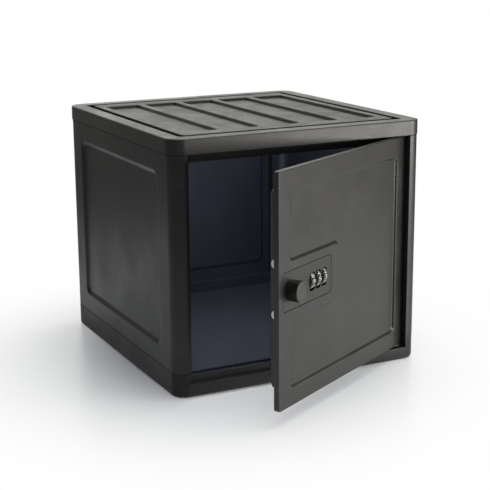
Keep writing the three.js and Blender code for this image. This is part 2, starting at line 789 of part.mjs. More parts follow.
// The recessed field on the door's front, which leaves raised land round the lock plate.
function doorField() {
  const slope = doorFieldSlope;
  const r = doorFieldRadius - slope;
  const p = plateBox();
  const left = alongDoor(doorWidth - doorFieldInset) + slope;
  const right = alongDoor(doorFieldInset) - slope;
  const low = doorBottom + doorFieldFootInset + slope;
  const high = doorTop - doorFieldInset - slope;
  const landRight = alongDoor(p.s0 - landMargin) + slope;
  const landLow = p.z0 - landBelow - slope;
  const landHigh = p.z1 + landAbove + slope;
  const q = landRadius + slope;
  const shape = roundedOutline([
    [left, low, r],
    [right, low, r],
    [right, high, r],
    [left, high, r],
    [left, landHigh, r],
    [landRight, landHigh, q],
    [landRight, landLow, q],
    [left, landLow, r],
  ]);
  const cutter = slopedPrism(shape, -doorFieldDepth, 3 * doorFieldDepth, doorFieldDepth, slope);
  return solid(facingFront(cutter).translate(0, intoDoor(0), 0));
}

function plateBox() {
  return {
    s0: plateCentre - plateLength / 2,
    s1: plateCentre + plateLength / 2,
    z0: lockHeight - plateHeight / 2,
    z1: lockHeight + plateHeight / 2,
  };
}

// The lock case behind the wheels.
function lockCaseBox() {
  const half = wheelPitch + wheelWidth / 2 + lockCaseClearance + lockCaseWall;
  const reach = wheelRadius + 2.6 + lockCaseWall;
  return {
    s0: wheelCentre - half,
    s1: wheelCentre + half,
    z0: lockHeight - reach,
    z1: lockHeight + reach,
  };
}

const lockScrewHeights = [lockHeight + wheelRadius + 7.2, lockHeight - wheelRadius - 7.2];

function makeLockPlate() {
  const p = plateBox();
  let plate = doorPrism(doorRect(p.s0, p.s1, p.z0, p.z1, plateRadius), 0, plateThickness);
  for (let i = -1; i <= 1; i++) {
    const s = wheelCentre + i * wheelPitch;
    const half = wheelSlotWidth / 2;
    const reach = wheelSlotHeight / 2;
    const slot = doorRect(s - half, s + half, lockHeight - reach, lockHeight + reach, 1);
    plate = plate.subtract(doorPrism(slot, -1, plateThickness + 1));
  }
  plate = plate.subtract(doorBar(knobCentre, lockHeight, -1, plateThickness + 1, shaftRadius + 0.6));
  for (const z of lockScrewHeights) {
    const bossBack = doorPanelThickness - seat;
    plate = plate.add(doorBar(wheelCentre, z, plateThickness / 2, bossBack, plateBossRadius, 12));
    const holeFront = lockScrewTip - seat;
    const hole = doorBar(wheelCentre, z, holeFront, bossBack + 1, smallShank + screwFit, screwSides);
    plate = plate.subtract(hole);
  }
  return plate;
}

function makeLockCase() {
  const c = lockCaseBox();
  const front = plateThickness + 2 * seat;
  const back = wheelDepth + wheelRadius + lockCaseClearance + lockCaseBack;
  let made = doorPrism(doorRect(c.s0, c.s1, c.z0, c.z1, 1), front, back);
  const w = lockCaseWall;
  const room = doorRect(c.s0 + w, c.s1 - w, c.z0 + w, c.z1 - w, 0.5);
  const clear = doorPrism(room, -1, back - lockCaseBack);
  made = made.subtract(clear);
  const tabFront = doorPanelThickness + seat;
  for (const z of lockScrewHeights) {
    const half = lockCaseTab / 2;
    const inward = z > lockHeight ? c.z1 - 1 : c.z0 + 1;
    const low = Math.min(inward, z - half);
    const high = Math.max(inward, z + half);
    const tab = doorRect(wheelCentre - half, wheelCentre + half, low, high, 1);
    made = made.add(doorPrism(tab, tabFront, tabFront + lockTabThickness).subtract(clear));
    made = made.subtract(doorBar(wheelCentre, z, 0, back, smallShank + screwFit, screwSides));
  }
  const axle = bar("x", intoDoor(wheelDepth), lockHeight, -width, width, spindleRadius + runningGap, 16);
  return made.subtract(axle);
}

// A number wheel: a disc with a grip notch between each pair of digits, on an axis along the door.
function makeWheel(index) {
  const shape = new THREE.Shape();
  const step = (2 * Math.PI) / digits;
  for (let i = 0; i < digits; i++) {
    for (const share of [-0.36, -0.18, 0, 0.18, 0.36]) {
      const angle = (i + share) * step;
      const x = wheelRadius * Math.cos(angle);
      const y = wheelRadius * Math.sin(angle);
      if (i === 0 && share === -0.36) shape.moveTo(x, y);
      else shape.lineTo(x, y);
    }
    const notch = (i + 0.5) * step;
    const deep = wheelRadius - gripDepth;
    shape.lineTo(deep * Math.cos(notch), deep * Math.sin(notch));
  }
  const hole = new THREE.Path();
  hole.absarc(0, 0, spindleRadius + runningGap, 0, 2 * Math.PI, true);
  shape.holes.push(hole);
  const geometry = new THREE.ExtrudeGeometry(shape, {
    depth: wheelWidth,
    bevelEnabled: false,
    curveSegments: 16,
  });
  geometry.translate(0, 0, -wheelWidth / 2).rotateY(Math.PI / 2);
  const s = wheelCentre + index * wheelPitch;
  return solid(geometry.translate(alongDoor(s), intoDoor(wheelDepth), lockHeight));
}

function makeSpindle() {
  const c = lockCaseBox();
  const from = alongDoor(c.s1) + seat;
  const to = alongDoor(c.s0) - seat;
  return bar("x", intoDoor(wheelDepth), lockHeight, from, to, spindleRadius, 16);
}

// A leaf with three fingers, one over each wheel, clipped under the lock case's top wall.
function makeDetentSpring() {
  const c = lockCaseBox();
  const top = c.z1 - lockCaseWall - seat;
  const leaf = 0.6;
  const y0 = intoDoor(wheelDepth - 1);
  const y1 = intoDoor(wheelDepth + wheelRadius - 1);
  const left = alongDoor(c.s1 - lockCaseWall - seat);
  const right = alongDoor(c.s0 + lockCaseWall + seat);
  let spring = block(left, right, y1 - 3, y1, top - leaf, top);
  for (let i = -1; i <= 1; i++) {
    const x = alongDoor(wheelCentre + i * wheelPitch);
    spring = spring.add(block(x - 2, x + 2, y0 - 1.2, y1, top - leaf, top));
    const tip = lockHeight + wheelRadius + runningGap;
    const nose = new THREE.CylinderGeometry(1.3, 0.4, top - tip, 8).rotateX(Math.PI / 2);
    spring = spring.add(solid(nose.translate(x, y0, (top + tip) / 2)));
  }
  return spring;
}

// The cover on the door's back: a hollow box with screw posts, bolt guides and the hinge knuckles.
function makeInnerCover() {
  const edge = coverEdge;
  const outline = doorRect(
    coverHingeInset + edge, coverFree - edge, coverBottom + edge, coverTop - edge, coverCornerRadius,
  );
  const body = slopedPrism(outline, -coverBack, coverBack, edge, edge, 3);
  let cover = solid(facingFront(body).translate(0, intoDoor(0), 0));
  const everywhere = doorRect(-5, doorWidth + 5, 0, height, 1);
  cover = cover.intersect(doorPrism(everywhere, doorPanelThickness + seat, coverBack));
  const w = coverWall;
  const inset = w + edge;
  const hollow = doorRect(
    coverHingeInset + inset, coverFree - inset, coverBottom + inset, coverTop - inset, coverCornerRadius,
  );
  const room = slopedPrism(hollow, -coverInner, coverInner, edge, edge, 2);
  cover = cover.subtract(solid(facingFront(room).translate(0, intoDoor(0), 0)));
  const base = doorPanelThickness + seat;
  for (const z of boltHeights) {
    const guide = doorRect(coverFree - boltGuide, coverFree - 1, z - boltRadius - 3, z + boltRadius + 3, 0.5);
    cover = cover.add(doorPrism(guide, base, coverInner + 0.5));
  }
  for (const [s, z] of doorScrewPlaces()) {
    cover = cover.add(doorBar(s, z, base, coverInner + 0.5, doorPostRadius, 14));
  }
  const low = bar("z", 0, 0, knuckleBottom, coverBottom + 6, knuckleRadius);
  const high = bar("z", 0, 0, coverTop - 6, knuckleTop, knuckleRadius);
  const web = block(-knuckleRadius, knuckleRadius - 1, 0, coverBack - pivotDepth - edge, 0, height);
  const lowWeb = web.intersect(block(-width, width, -depth, depth, knuckleBottom + 4, coverBottom + 6));
  const highWeb = web.intersect(block(-width, width, -depth, depth, coverTop - 6, knuckleTop - 4));
  const behindPanel = doorPrism(everywhere, base, coverBack);
  cover = cover.add(low.add(lowWeb).intersect(behindPanel)).add(high.add(highWeb).intersect(behindPanel));
  cover = cover.subtract(bar("z", 0, 0, 0, lowPinTop + seat, pinRadius + pinClearance));
  cover = cover.subtract(bar("z", 0, 0, highPinBottom - seat, height, pinRadius + pinClearance));
  const boltY = intoDoor(boltDepth);
  const guideBack = alongDoor(coverFree - boltGuide - 2);
  for (const z of boltHeights) {
    const bore = bar("x", boltY, z, alongDoor(doorWidth), guideBack, boltRadius + boltClearance);
    cover = cover.subtract(bore);
  }
  const nose = rackBox();
  const slotGap = 0.5;
  const slot = doorRect(coverFree - 4, coverFree + 2, nose.z0 - slotGap, nose.z1 + slotGap, 0.3);
  cover = cover.subtract(doorPrism(slot, pinionFront - slotGap, pinionBack + slotGap));
  const headSeat = coverBack - smallHeadHeight - 2 * seat;
  for (const [s, z] of doorScrewPlaces()) {
    const counterbore = doorBar(s, z, headSeat, coverBack + 1, smallHead + screwFit, screwSides + 4);
    cover = cover.subtract(counterbore);
    cover = cover.subtract(doorBar(s, z, base - 1, coverBack, smallShank + screwFit, screwSides));
  }
  return cover;
}

// Six screws hold the cover to the panel, in from its corners and half way along its tall sides.
function doorScrewPlaces() {
  const inset = doorScrewInset;
  const hinge = coverHingeInset + 1.5 * inset;
  const free = coverFree - 1.7 * inset;
  const middle = (coverHingeInset + coverFree) / 2;
  const low = coverBottom + inset;
  const high = coverTop - inset;
  return [
    [hinge, low],
    [middle, low],
    [free, low],
    [hinge, high],
    [middle, high],
    [free, high],
  ];
}

// The rack: its teeth hang down onto the pinion, and its nose passes the cover's end.
function rackBox() {
  const pitchLine = lockHeight + pitchRadius;
  return {
    s0: carriageStart,
    s1: knobCentre + 0.7 * gearPitch,
    z0: pitchLine - rackAddendum,
    z1: pitchLine + rackHeight,
    pitchLine,
  };
}

function makeCarriage() {
  const rack = rackBox();
  const low = boltHeights[1] - boltRadius + 1;
  const high = boltHeights[0] + boltRadius - 1;
  const end = carriageStart + carriageWidth;
  let carriage = doorPrism(doorRect(carriageStart, end, low, high, 1), carriageFront, carriageBack);
  const root = rack.pitchLine + gearModule + 0.15;
  const arm = doorRect(carriageStart, rack.s1, root, rack.z1, 0.3);
  carriage = carriage.add(doorPrism(arm, pinionFront, pinionBack));
  const web = doorRect(carriageStart, end, root, rack.z1, 0.3);
  carriage = carriage.add(doorPrism(web, pinionFront, carriageBack));
  const first = Math.ceil((carriageStart + carriageWidth + 1 - knobCentre) / gearPitch);
  for (let k = first; k <= 0; k++) {
    const tooth = rackTooth(knobCentre + k * gearPitch, rack, root);
    carriage = carriage.add(doorPrism(tooth, pinionFront, pinionBack));
  }
  for (const z of boltHeights) {
    const hole = doorBar(crossPinPlace(), z, 0, coverBack, crossPinRadius + seat, screwSides);
    carriage = carriage.subtract(hole);
  }
  return carriage;
}

// One rack tooth: straight flanks, narrowed by the backlash.
function rackTooth(s, rack, root) {
  const half = gearPitch / 4 - backlash / 2;
  const slope = Math.tan(pressureAngle);
  const tip = half - rackAddendum * slope;
  const foot = half + (root - rack.pitchLine) * slope;
  const x = alongDoor(s);
  const shape = new THREE.Shape();
  shape.moveTo(x - tip, rack.z0);
  shape.lineTo(x + tip, rack.z0);
  shape.lineTo(x + foot, root + 0.2);
  shape.lineTo(x - foot, root + 0.2);
  return shape;
}

function crossPinPlace() {
  return carriageStart + carriageWidth - 3;
}

// The pinion's outline: involute flanks from the base circle to the tip, with a gap at the top.
function pinionOutline() {
  const base = pitchRadius * Math.cos(pressureAngle);
  const tip = pitchRadius + gearModule;
  const root = pitchRadius - 1.25 * gearModule;
  const roll = (radius) => Math.sqrt((radius / base) ** 2 - 1);
  const spread = (radius) => roll(radius) - Math.atan(roll(radius));
  const half = (gearPitch / 4 - backlash / 2) / pitchRadius + spread(pitchRadius);
  const radii = [base, base + (tip - base) * 0.35, base + (tip - base) * 0.7, tip];
  const shape = new THREE.Shape();
  for (let i = 0; i < pinionTeeth; i++) {
    const middle = Math.PI / 2 + ((i + 0.5) * 2 * Math.PI) / pinionTeeth;
    const place = (radius, angle) => [radius * Math.cos(angle), radius * Math.sin(angle)];
    const rising = radii.map((radius) => place(radius, middle - half + spread(radius)));
    const falling = radii.map((radius) => place(radius, middle + half - spread(radius))).reverse();
    const points = [place(root, middle - half), ...rising, ...falling, place(root, middle + half)];
    points.forEach(([x, y], k) => {
      if (i === 0 && k === 0) shape.moveTo(x, y);
      else shape.lineTo(x, y);
    });
  }
  return shape;
}

function makePinion() {
  const settings = { depth: pinionThickness, bevelEnabled: false };
  const geometry = new THREE.ExtrudeGeometry(pinionOutline(), settings);
  const x = alongDoor(knobCentre);
  facingFront(geometry.translate(0, 0, -pinionBack)).translate(x, intoDoor(0), lockHeight);
  const bore = doorBar(knobCentre, lockHeight, 0, coverBack, shaftRadius + seat, 20);
  return solid(geometry).subtract(bore);
}

// The knob: a plain turned knob with a softened edge, a shallow dish in its face and a blind bore.
function makeKnob() {
  const r = knobRadius;
  const h = knobHeight;
  const e = knobEdge;
  const dish = r - knobDishMargin;
  const profile = [
    [0, 0],
    [r - 0.4, 0],
    [r, 0.4],
    [r, h - e],
    [r - e * 0.3, h - e * 0.3],
    [r - e, h],
    [dish, h],
    [dish - knobDish, h - knobDish],
    [0, h - knobDish],
  ].map(([x, y]) => new THREE.Vector2(x, y));
  const turned = new THREE.LatheGeometry(profile, 2 * roundSides).rotateX(Math.PI);
  turned.translate(alongDoor(knobCentre), intoDoor(-seat), lockHeight);
  return solid(turned).subtract(doorBar(knobCentre, lockHeight, knobBoreEnd - seat, 1, shaftRadius + seat));
}

const knobBoreEnd = knobCrown - knobHeight;

function makeKnobShaft() {
  const shaft = doorBar(knobCentre, lockHeight, knobBoreEnd, shaftBack, shaftRadius);
  const collar = doorBar(knobCentre, lockHeight, collarFront, collarFront + collarThickness, collarRadius);
  const groove = doorBar(knobCentre, lockHeight, pinionBack + seat / 2, shaftBack - 0.2, shaftRadius + 1);
  const neck = doorBar(knobCentre, lockHeight, 0, coverBack, shaftRadius - 0.8);
  return shaft.add(collar).subtract(groove.subtract(neck));
}

// The clip that keeps the pinion on its shaft: an open ring in the shaft's groove.
function makePinionClip() {
  const from = pinionBack + seat;
  const ring = doorBar(knobCentre, lockHeight, from, from + 0.4, clipRadius);
  const bore = doorBar(knobCentre, lockHeight, 0, coverBack, shaftRadius - 0.5);
  const x = alongDoor(knobCentre);
  const half = shaftRadius - 1.2;
  const below = lockHeight - 2 * clipRadius;
  const mouth = block(x - half, x + half, intoDoor(0), intoDoor(coverBack), below, lockHeight);
  return ring.subtract(bore).subtract(mouth);
}

// A bolt, slotted at its tail for the carriage and cross-drilled for a pin.
function makeBolt(z) {
  const x0 = alongDoor(coverFree);
  const boltY = intoDoor(boltDepth);
  let bolt = bar("x", boltY, z, x0, x0 + boltLength, boltRadius);
  const tail = coverFree - boltLength;
  const slot = doorRect(tail - 1, tail + boltSlotLength, z - 2 * boltRadius, z + 2 * boltRadius, 0.3);
  bolt = bolt.subtract(doorPrism(slot, carriageFront - seat, carriageBack + seat));
  return bolt.subtract(doorBar(crossPinPlace(), z, 0, coverBack, crossPinRadius + seat / 2, screwSides));
}

function makeCrossPin(z) {
  const front = boltDepth - boltRadius + 1.4;
  const back = boltDepth + boltRadius - 0.8;
  return doorBar(crossPinPlace(), z, front, back, crossPinRadius, screwSides);
}

// A washer round a hinge pin, between a knuckle and the casing.
function washer(bottom) {
  const disc = bar("z", pivotX, pivotY, bottom, bottom + washerThickness, knuckleRadius);
  return disc.subtract(bar("z", pivotX, pivotY, 0, height, pinRadius + pinClearance));
}

// The casing.
const casing = new THREE.Group();
casing.add(part("base_tray", makeBaseTray(), plastic));
casing.add(part("left_side_wall", mirrored(makeSideWall(false)), plastic));
casing.add(part("right_side_wall", makeSideWall(true), plastic));
casing.add(part("rear_wall", makeRearWall(), plastic));
casing.add(part("top_cap", makeTopCap(), plastic));
casing.add(part("top_panel", makeTopPanel(), plastic));
casing.add(part("floor_mat", makeFloorMat(), matFoam));
casing.add(part("strike_plate", makeStrikePlate(), steel));

// Screws that rise from the base, and screws that hold the cap.
baseScrewPlaces.forEach(([x, y], i) => {
  const geometry = screwShape(baseScrewLength, screwShank, screwHead, screwHeadHeight);
  geometry.rotateX(Math.PI).translate(x, y, baseScrewTop);
  casing.add(part(`base_screw_${i + 1}`, solid(geometry), steel));
});
const capPlaces = capScrewYs.flatMap((y) => [[-capScrewX, y], [capScrewX, y]]);
capPlaces.forEach(([x, y], i) => {
  const geometry = screwShape(capScrewLength, screwShank, screwHead, screwHeadHeight);
  geometry.rotateX(Math.PI).translate(x, y, wallTop - tabThickness - seat + capScrewLength);
  casing.add(part(`cap_screw_${i + 1}`, solid(geometry), steel));
});
strikeScrewHeights.forEach((z, i) => {
  const geometry = screwShape(strikeScrewLength, smallShank, smallHead, strikeScrewHead);
  const tip = -stopX + seat - strikeScrewLength;
  geometry.rotateY(Math.PI / 2).translate(tip, doorFaceY + boltDepth, z);
  casing.add(part(`strike_screw_${i + 1}`, solid(geometry), steel));
});

// The hinge pins and their washers stay with the casing.
casing.add(part("lower_hinge_pin", bar("z", pivotX, pivotY, lowPinBottom, lowPinTop, pinRadius), steel));
casing.add(part("upper_hinge_pin", bar("z", pivotX, pivotY, highPinBottom, highPinTop, pinRadius), steel));
casing.add(part("lower_hinge_washer", washer(floorTop + seat), nylon));
casing.add(part("upper_hinge_washer", washer(skirtBottom - seat - washerThickness), nylon));

// The door stands ajar, turned about its hinge axis.
const door = new THREE.Group();
door.position.set(pivotX, pivotY, 0);
door.rotation.z = THREE.MathUtils.degToRad(openAngleDegrees);
door.add(part("door_outer_panel", makeDoorPanel(), plastic));
door.add(part("door_inner_cover", makeInnerCover(), innerPlastic));
door.add(part("lock_plate", makeLockPlate(), plastic));
door.add(part("lock_case", makeLockCase(), innerPlastic));
door.add(part("dial_spindle", makeSpindle(), steel));
door.add(part("detent_spring", makeDetentSpring(), springSteel));
doorScrewPlaces().forEach(([s, z], i) => {
  const length = coverBack - smallHeadHeight - 0.3 - doorScrewTip;
  const geometry = screwShape(length, smallShank, smallHead, smallHeadHeight);
  geometry.rotateX(-Math.PI / 2).translate(alongDoor(s), intoDoor(doorScrewTip), z);
  door.add(part(`door_screw_${i + 1}`, solid(geometry), steel));
});
lockScrewHeights.forEach((z, i) => {
  const length = doorPanelThickness + lockTabThickness + 2 * seat - lockScrewTip;
  const geometry = screwShape(length, smallShank, smallHead, smallHeadHeight);
  geometry.rotateX(-Math.PI / 2).translate(alongDoor(wheelCentre), intoDoor(lockScrewTip), z);
  door.add(part(`lock_screw_${i + 1}`, solid(geometry), steel));
});

// The number wheels, the knob train and the bolt train ride in the door.
for (let i = -1; i <= 1; i++) {
  door.add(part(`number_wheel_${2 - i}`, makeWheel(i), wheelPlastic));
}
door.add(part("knob", makeKnob(), plastic));
door.add(part("knob_shaft", makeKnobShaft(), steel));
door.add(part("lock_pinion", makePinion(), steel));
door.add(part("pinion_clip", makePinionClip(), springSteel));
door.add(part("bolt_carriage", makeCarriage(), steel));
door.add(part("upper_bolt", makeBolt(boltHeights[0]), steel));
door.add(part("lower_bolt", makeBolt(boltHeights[1]), steel));
door.add(part("upper_bolt_pin", makeCrossPin(boltHeights[0]), springSteel));
door.add(part("lower_bolt_pin", makeCrossPin(boltHeights[1]), springSteel));

const lockBox = new THREE.Group();
lockBox.add(casing, door);
export default lockBox;
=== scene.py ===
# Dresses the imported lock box: moulded black shell, ribbed top, open door with its dial lock.
# Settings and shape functions are in millimetres, meshes in metres.
import bmesh
import bpy
import json
import math
import numpy as np
from mathutils import Matrix, Vector


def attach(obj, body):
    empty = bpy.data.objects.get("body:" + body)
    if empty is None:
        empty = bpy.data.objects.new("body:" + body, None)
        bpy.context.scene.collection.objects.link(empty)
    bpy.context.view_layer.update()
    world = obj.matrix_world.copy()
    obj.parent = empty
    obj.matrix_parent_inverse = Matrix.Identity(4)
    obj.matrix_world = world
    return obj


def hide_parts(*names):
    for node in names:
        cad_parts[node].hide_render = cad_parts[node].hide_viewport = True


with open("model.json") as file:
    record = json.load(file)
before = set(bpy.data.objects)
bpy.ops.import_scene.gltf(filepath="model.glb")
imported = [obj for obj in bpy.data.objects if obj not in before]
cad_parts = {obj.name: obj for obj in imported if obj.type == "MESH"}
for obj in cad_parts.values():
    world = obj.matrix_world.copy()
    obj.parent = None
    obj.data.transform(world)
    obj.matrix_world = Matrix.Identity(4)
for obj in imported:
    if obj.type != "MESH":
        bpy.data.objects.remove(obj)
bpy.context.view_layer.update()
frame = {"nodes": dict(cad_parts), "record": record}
nodes = frame["nodes"]
bodyOf = {node: body for body, names in frame["record"]["behaviour"]["bodies"].items() for node in names}
print("frame loaded:", len(nodes), "nodes")

# Main sizes that several pieces share, as the solids have them.
shell = {
    "halfX": 149.2, "halfY": 156.7, "round": 15.2, "wall": 3.4, "low": 27.0, "high": 257.1,
    "openHalf": 133.9, "stopX": 127.7, "stopY": -149.4, "strikeBackY": -134.8,
    "hingePocket": (137.17, -152.92, -122.93), "fieldDepth": 2.6, "fieldRun": 4.2, "fieldSoft": 0.5,
    "fieldRadius": 10.1, "fieldZ": (47.6, 236.5), "fieldY": 116.7, "fieldX": 111.2, "innerGrow": 1.0,
    "seam": 0.35,
}
hinge = {"x": 117.0, "y": -143.1, "inset": 14.0, "depth": 12.8, "angle": 29.4}
lock = {"z": 136.8, "knob": 238.5, "plate": 208.1, "wheels": 187.9, "pitch": 11.6, "wheelDepth": 7.0,
        "shaftBore": 3.6, "posts": 16.7}


# Working with arrays.

def softRamp(distance, run, soft=0.6):
    # A straight ramp from 0 to 1: (h(d) - h(d - run)) / run with h(x) = (x + sqrt(x^2 + soft^2)) / 2.
    here = distance + np.sqrt(distance ** 2 + soft ** 2)
    there = distance - run + np.sqrt((distance - run) ** 2 + soft ** 2)
    return (here - there) / (2 * run)


def insideRound(a, b, a0, a1, b0, b1, radius):
    # How far a point lies inside a rectangle with round corners; negative outside it.
    qa = np.abs(a - (a0 + a1) / 2) - ((a1 - a0) / 2 - radius)
    qb = np.abs(b - (b0 + b1) / 2) - ((b1 - b0) / 2 - radius)
    return radius - np.hypot(np.maximum(qa, 0), np.maximum(qb, 0)) - np.minimum(np.maximum(qa, qb), 0)


def softLeast(p, q, blend):
    # The smaller of two distances, with the crease between them rounded over the blend length.
    h = np.clip(0.5 + 0.5 * (q - p) / blend, 0.0, 1.0)
    return q * (1 - h) + p * h - blend * h * (1 - h)


def edgeDrop(inside, radius):
    # A quarter circle: how far a rounded edge has fallen at this distance in from the rim.
    t = np.clip(radius - inside, 0.0, radius)
    return radius - np.sqrt(radius * radius - t * t)


def stopsOf(start, end, coarse, *runs):
    # Grid lines a coarse step apart, with finer ones inside each run (low, high, step).
    lines = np.linspace(start, end, int((end - start) / coarse) + 2)
    for low, high, step in runs:
        lines = lines[(lines < low - step / 2) | (lines > high + step / 2)]
    fine = [np.linspace(low, high, int(round((high - low) / step)) + 1) for low, high, step in runs]
    lines = np.unique(np.round(np.concatenate([lines, [start, end]] + fine), 3))
    lines = lines[(lines >= start) & (lines <= end)]
    return lines[np.concatenate([[True], np.diff(lines) > 0.05])]


def mirrorRuns(*runs):
    return [run for low, high, step in runs for run in ((low, high, step), (-high, -low, step))]


def runsFrom(line, way, runs):
    # Runs given as distances from a line, on one side of it.
    return [(*sorted((line + way * low, line + way * high)), step) for low, high, step in runs]


def roundLoop(halfA, halfB, radius, steps=10, centre=(0, 0)):
    # A rectangle with round corners as one closed loop, counter-clockwise, corner by corner.
    turn = np.linspace(0, math.pi / 2, steps + 1)
    corners = []
    for k, (sa, sb) in enumerate([(1, 1), (-1, 1), (-1, -1), (1, -1)]):
        angle = turn + k * math.pi / 2
        corners.append(np.stack([
            sa * (halfA - radius) + radius * np.cos(angle),
            sb * (halfB - radius) + radius * np.sin(angle),
        ], axis=1))
    return np.concatenate(corners) + centre


def filletedLoop(corners, steps=6):
    # Straight sides with an arc at each corner; corners are (x, y, radius), counter-clockwise.
    pieces = []
    for k, (x, y, radius) in enumerate(corners):
        here = np.array([x, y], float)
        before = np.array(corners[k - 1][:2], float) - here
        after = np.array(corners[(k + 1) % len(corners)][:2], float) - here
        before /= np.linalg.norm(before)
        after /= np.linalg.norm(after)
        half = math.acos(float(np.clip(before @ after, -1, 1))) / 2
        reach = radius / math.tan(half)
        centre = here + (before + after) / np.linalg.norm(before + after) * radius / math.sin(half)
        first, last = here + before * reach - centre, here + after * reach - centre
        swing = math.pi - 2 * half
        t = np.linspace(0, 1, steps + 1)[:, None]
        pieces.append(centre + (np.sin((1 - t) * swing) * first + np.sin(t * swing) * last) / math.sin(swing))
    return np.concatenate(pieces)


def outwardOf(loop):
    # The outward direction at each point of a counter-clockwise loop, from the mean of its two sides.
    ahead = np.roll(loop, -1, axis=0) - loop
    ahead /= np.maximum(np.linalg.norm(ahead, axis=1), 1e-9)[:, None]
    mean = ahead + np.roll(ahead, 1, axis=0)
    mean /= np.maximum(np.linalg.norm(mean, axis=1), 1e-9)[:, None]
    return np.stack([mean[:, 1], -mean[:, 0]], axis=1)


def arcPairs(radius, fromAngle, toAngle, centre, steps=4):
    # Points on an arc, as (across, along) pairs, for the corner of a profile.
    t = np.radians(np.linspace(fromAngle, toAngle, steps + 1))
    return np.stack([centre[0] + radius * np.cos(t), centre[1] + radius * np.sin(t)], axis=1)


def footArc(edge, low, steps):
    # A rounded lower edge as (inset, height).
    return arcPairs(edge, 270, 180, (edge, low + edge), steps)


def topArc(edge, high, steps):
    return arcPairs(edge, 180, 90, (edge, high - edge), steps)


def stackRows(loop, rows):
    # A loop repeated for each (inset, height); each point moves in along its own outward direction.
    rows = np.asarray(rows, float)
    flat = loop[None] - outwardOf(loop)[None] * rows[:, 0, None, None]
    height = np.repeat(rows[:, 1, None], len(loop), axis=1)
    return np.concatenate([flat, height[..., None]], axis=-1)


def roundTurn(sides):
    return np.arange(sides) * 2 * math.pi / sides


def latheRows(profile, sides):
    # A profile of (radius, along) turned about an axis: point = (r cos t, r sin t, along).
    profile = np.asarray(profile, float)
    t = roundTurn(sides)
    radius, along = profile[:, 0, None], profile[:, 1, None]
    return np.stack([radius * np.cos(t), radius * np.sin(t), along + 0 * t], axis=-1)


def loopFaces(rows, ring=False):
    # Quads between neighbouring loops, with a face over each end, or closed into a ring.
    count, width = rows.shape[:2]
    row, col = np.meshgrid(np.arange(count if ring else count - 1), np.arange(width), indexing="ij")
    nextRow, nextCol = (row + 1) % count, (col + 1) % width
    quads = np.stack([row * width + col, row * width + nextCol,
                      nextRow * width + nextCol, nextRow * width + col], axis=-1)
    faces = quads.reshape(-1, 4).tolist()
    if not ring:
        faces += [list(range(width))[::-1], list(range((count - 1) * width, count * width))]
    return rows.reshape(-1, 3), faces


def softBlock(x0, x1, y0, y1, z0, z1, edge, corner):
    # A block with rounded edges: round rectangles stacked through its height.
    loop = roundLoop((x1 - x0) / 2, (y1 - y0) / 2, corner, 3, ((x0 + x1) / 2, (y0 + y1) / 2))
    return loopFaces(stackRows(loop, np.concatenate([footArc(edge, z0, 2), topArc(edge, z1, 2)])))


def postShape(x, y, radius, z0, z1, sides=24):
    points, faces = loopFaces(latheRows([(radius, z0), (radius, z1)], sides))
    return points + (x, y, 0), faces


def roundedGrid(a, b, a0, a1, b0, b1, radius):
    # Pulls a square grid's corners onto arcs: each square shell of the corner becomes a quarter circle.
    da = a - np.clip(a, a0 + radius, a1 - radius)
    db = b - np.clip(b, b0 + radius, b1 - radius)
    longest = np.maximum(np.abs(da), np.abs(db))
    scale = longest / np.maximum(np.hypot(da, db), 1e-9)
    return a + da * (scale - 1), b + db * (scale - 1)


def reliefSlab(stopsA, stopsB, front, back, radius):
    # A slab over a grid: its front and back depths are functions of (a, b), and walls close its rim.
    a, b = np.meshgrid(stopsA, stopsB, indexing="ij")
    a, b = roundedGrid(a, b, stopsA[0], stopsA[-1], stopsB[0], stopsB[-1], radius)
    rim = insideRound(a, b, stopsA[0], stopsA[-1], stopsB[0], stopsB[-1], radius)
    points = np.concatenate([np.stack([a, front(a, b, rim), b], axis=-1).reshape(-1, 3),
                             np.stack([a, back(a, b, rim) + 0 * a, b], axis=-1).reshape(-1, 3)])
    na, nb = a.shape
    index = np.arange(na * nb).reshape(na, nb)
    behind = index + na * nb
    near = np.stack([index[:-1, :-1], index[1:, :-1], index[1:, 1:], index[:-1, 1:]], axis=-1)
    far = np.stack([behind[:-1, :-1], behind[:-1, 1:], behind[1:, 1:], behind[1:, :-1]], axis=-1)
    rimIndex = np.concatenate([index[:-1, 0], index[-1, :-1], index[:0:-1, -1], index[0, :0:-1]])
    after = np.roll(rimIndex, -1)
    wall = np.stack([rimIndex, rimIndex + na * nb, after + na * nb, after], axis=-1)
    return points, np.concatenate([near.reshape(-1, 4), far.reshape(-1, 4), wall]).tolist()


def joined(*parts):
    # Several (points, faces) as one.
    points, faces, count = [], [], 0
    for somePoints, someFaces in parts:
        points.append(np.asarray(somePoints, float).reshape(-1, 3))
        faces += [[v + count for v in face] for face in someFaces]
        count += len(points[-1])
    return np.concatenate(points), faces


def mirroredX(points, faces):
    return points * (-1, 1, 1), [face[::-1] for face in faces]


# Where arrays go.

def standing(points):
    return points


def upFrom(height):
    # A slab's depth becomes the drop below a height.
    return lambda p: np.stack([p[..., 0], p[..., 2], height - p[..., 1]], axis=-1)


def frontFacing(points):
    # A shape stacked upwards is laid so that its top faces out of the door.
    return np.stack([points[..., 0], -points[..., 2], points[..., 1]], axis=-1)


def latchFacing(points):
    # A turned shape is laid so that its end points to the door's free edge.
    return np.stack([-points[..., 2], points[..., 0], -points[..., 1]], axis=-1)


def onDoor(points):
    # Door coordinates (along from the hinge axis, depth from the door's face, height) into the casing's.
    angle = math.radians(hinge["angle"])
    x, y = points[..., 0], points[..., 1] - hinge["depth"]
    return np.stack([hinge["x"] + x * math.cos(angle) - y * math.sin(angle),
                     hinge["y"] + x * math.sin(angle) + y * math.cos(angle), points[..., 2]], axis=-1)


def alongDoor(fromHingeEdge):
    return hinge["inset"] - fromHingeEdge


# Arrays into objects.

def addObject(name, data):
    piece = bpy.data.objects.new(name, data)
    bpy.context.scene.collection.objects.link(piece)
    return piece


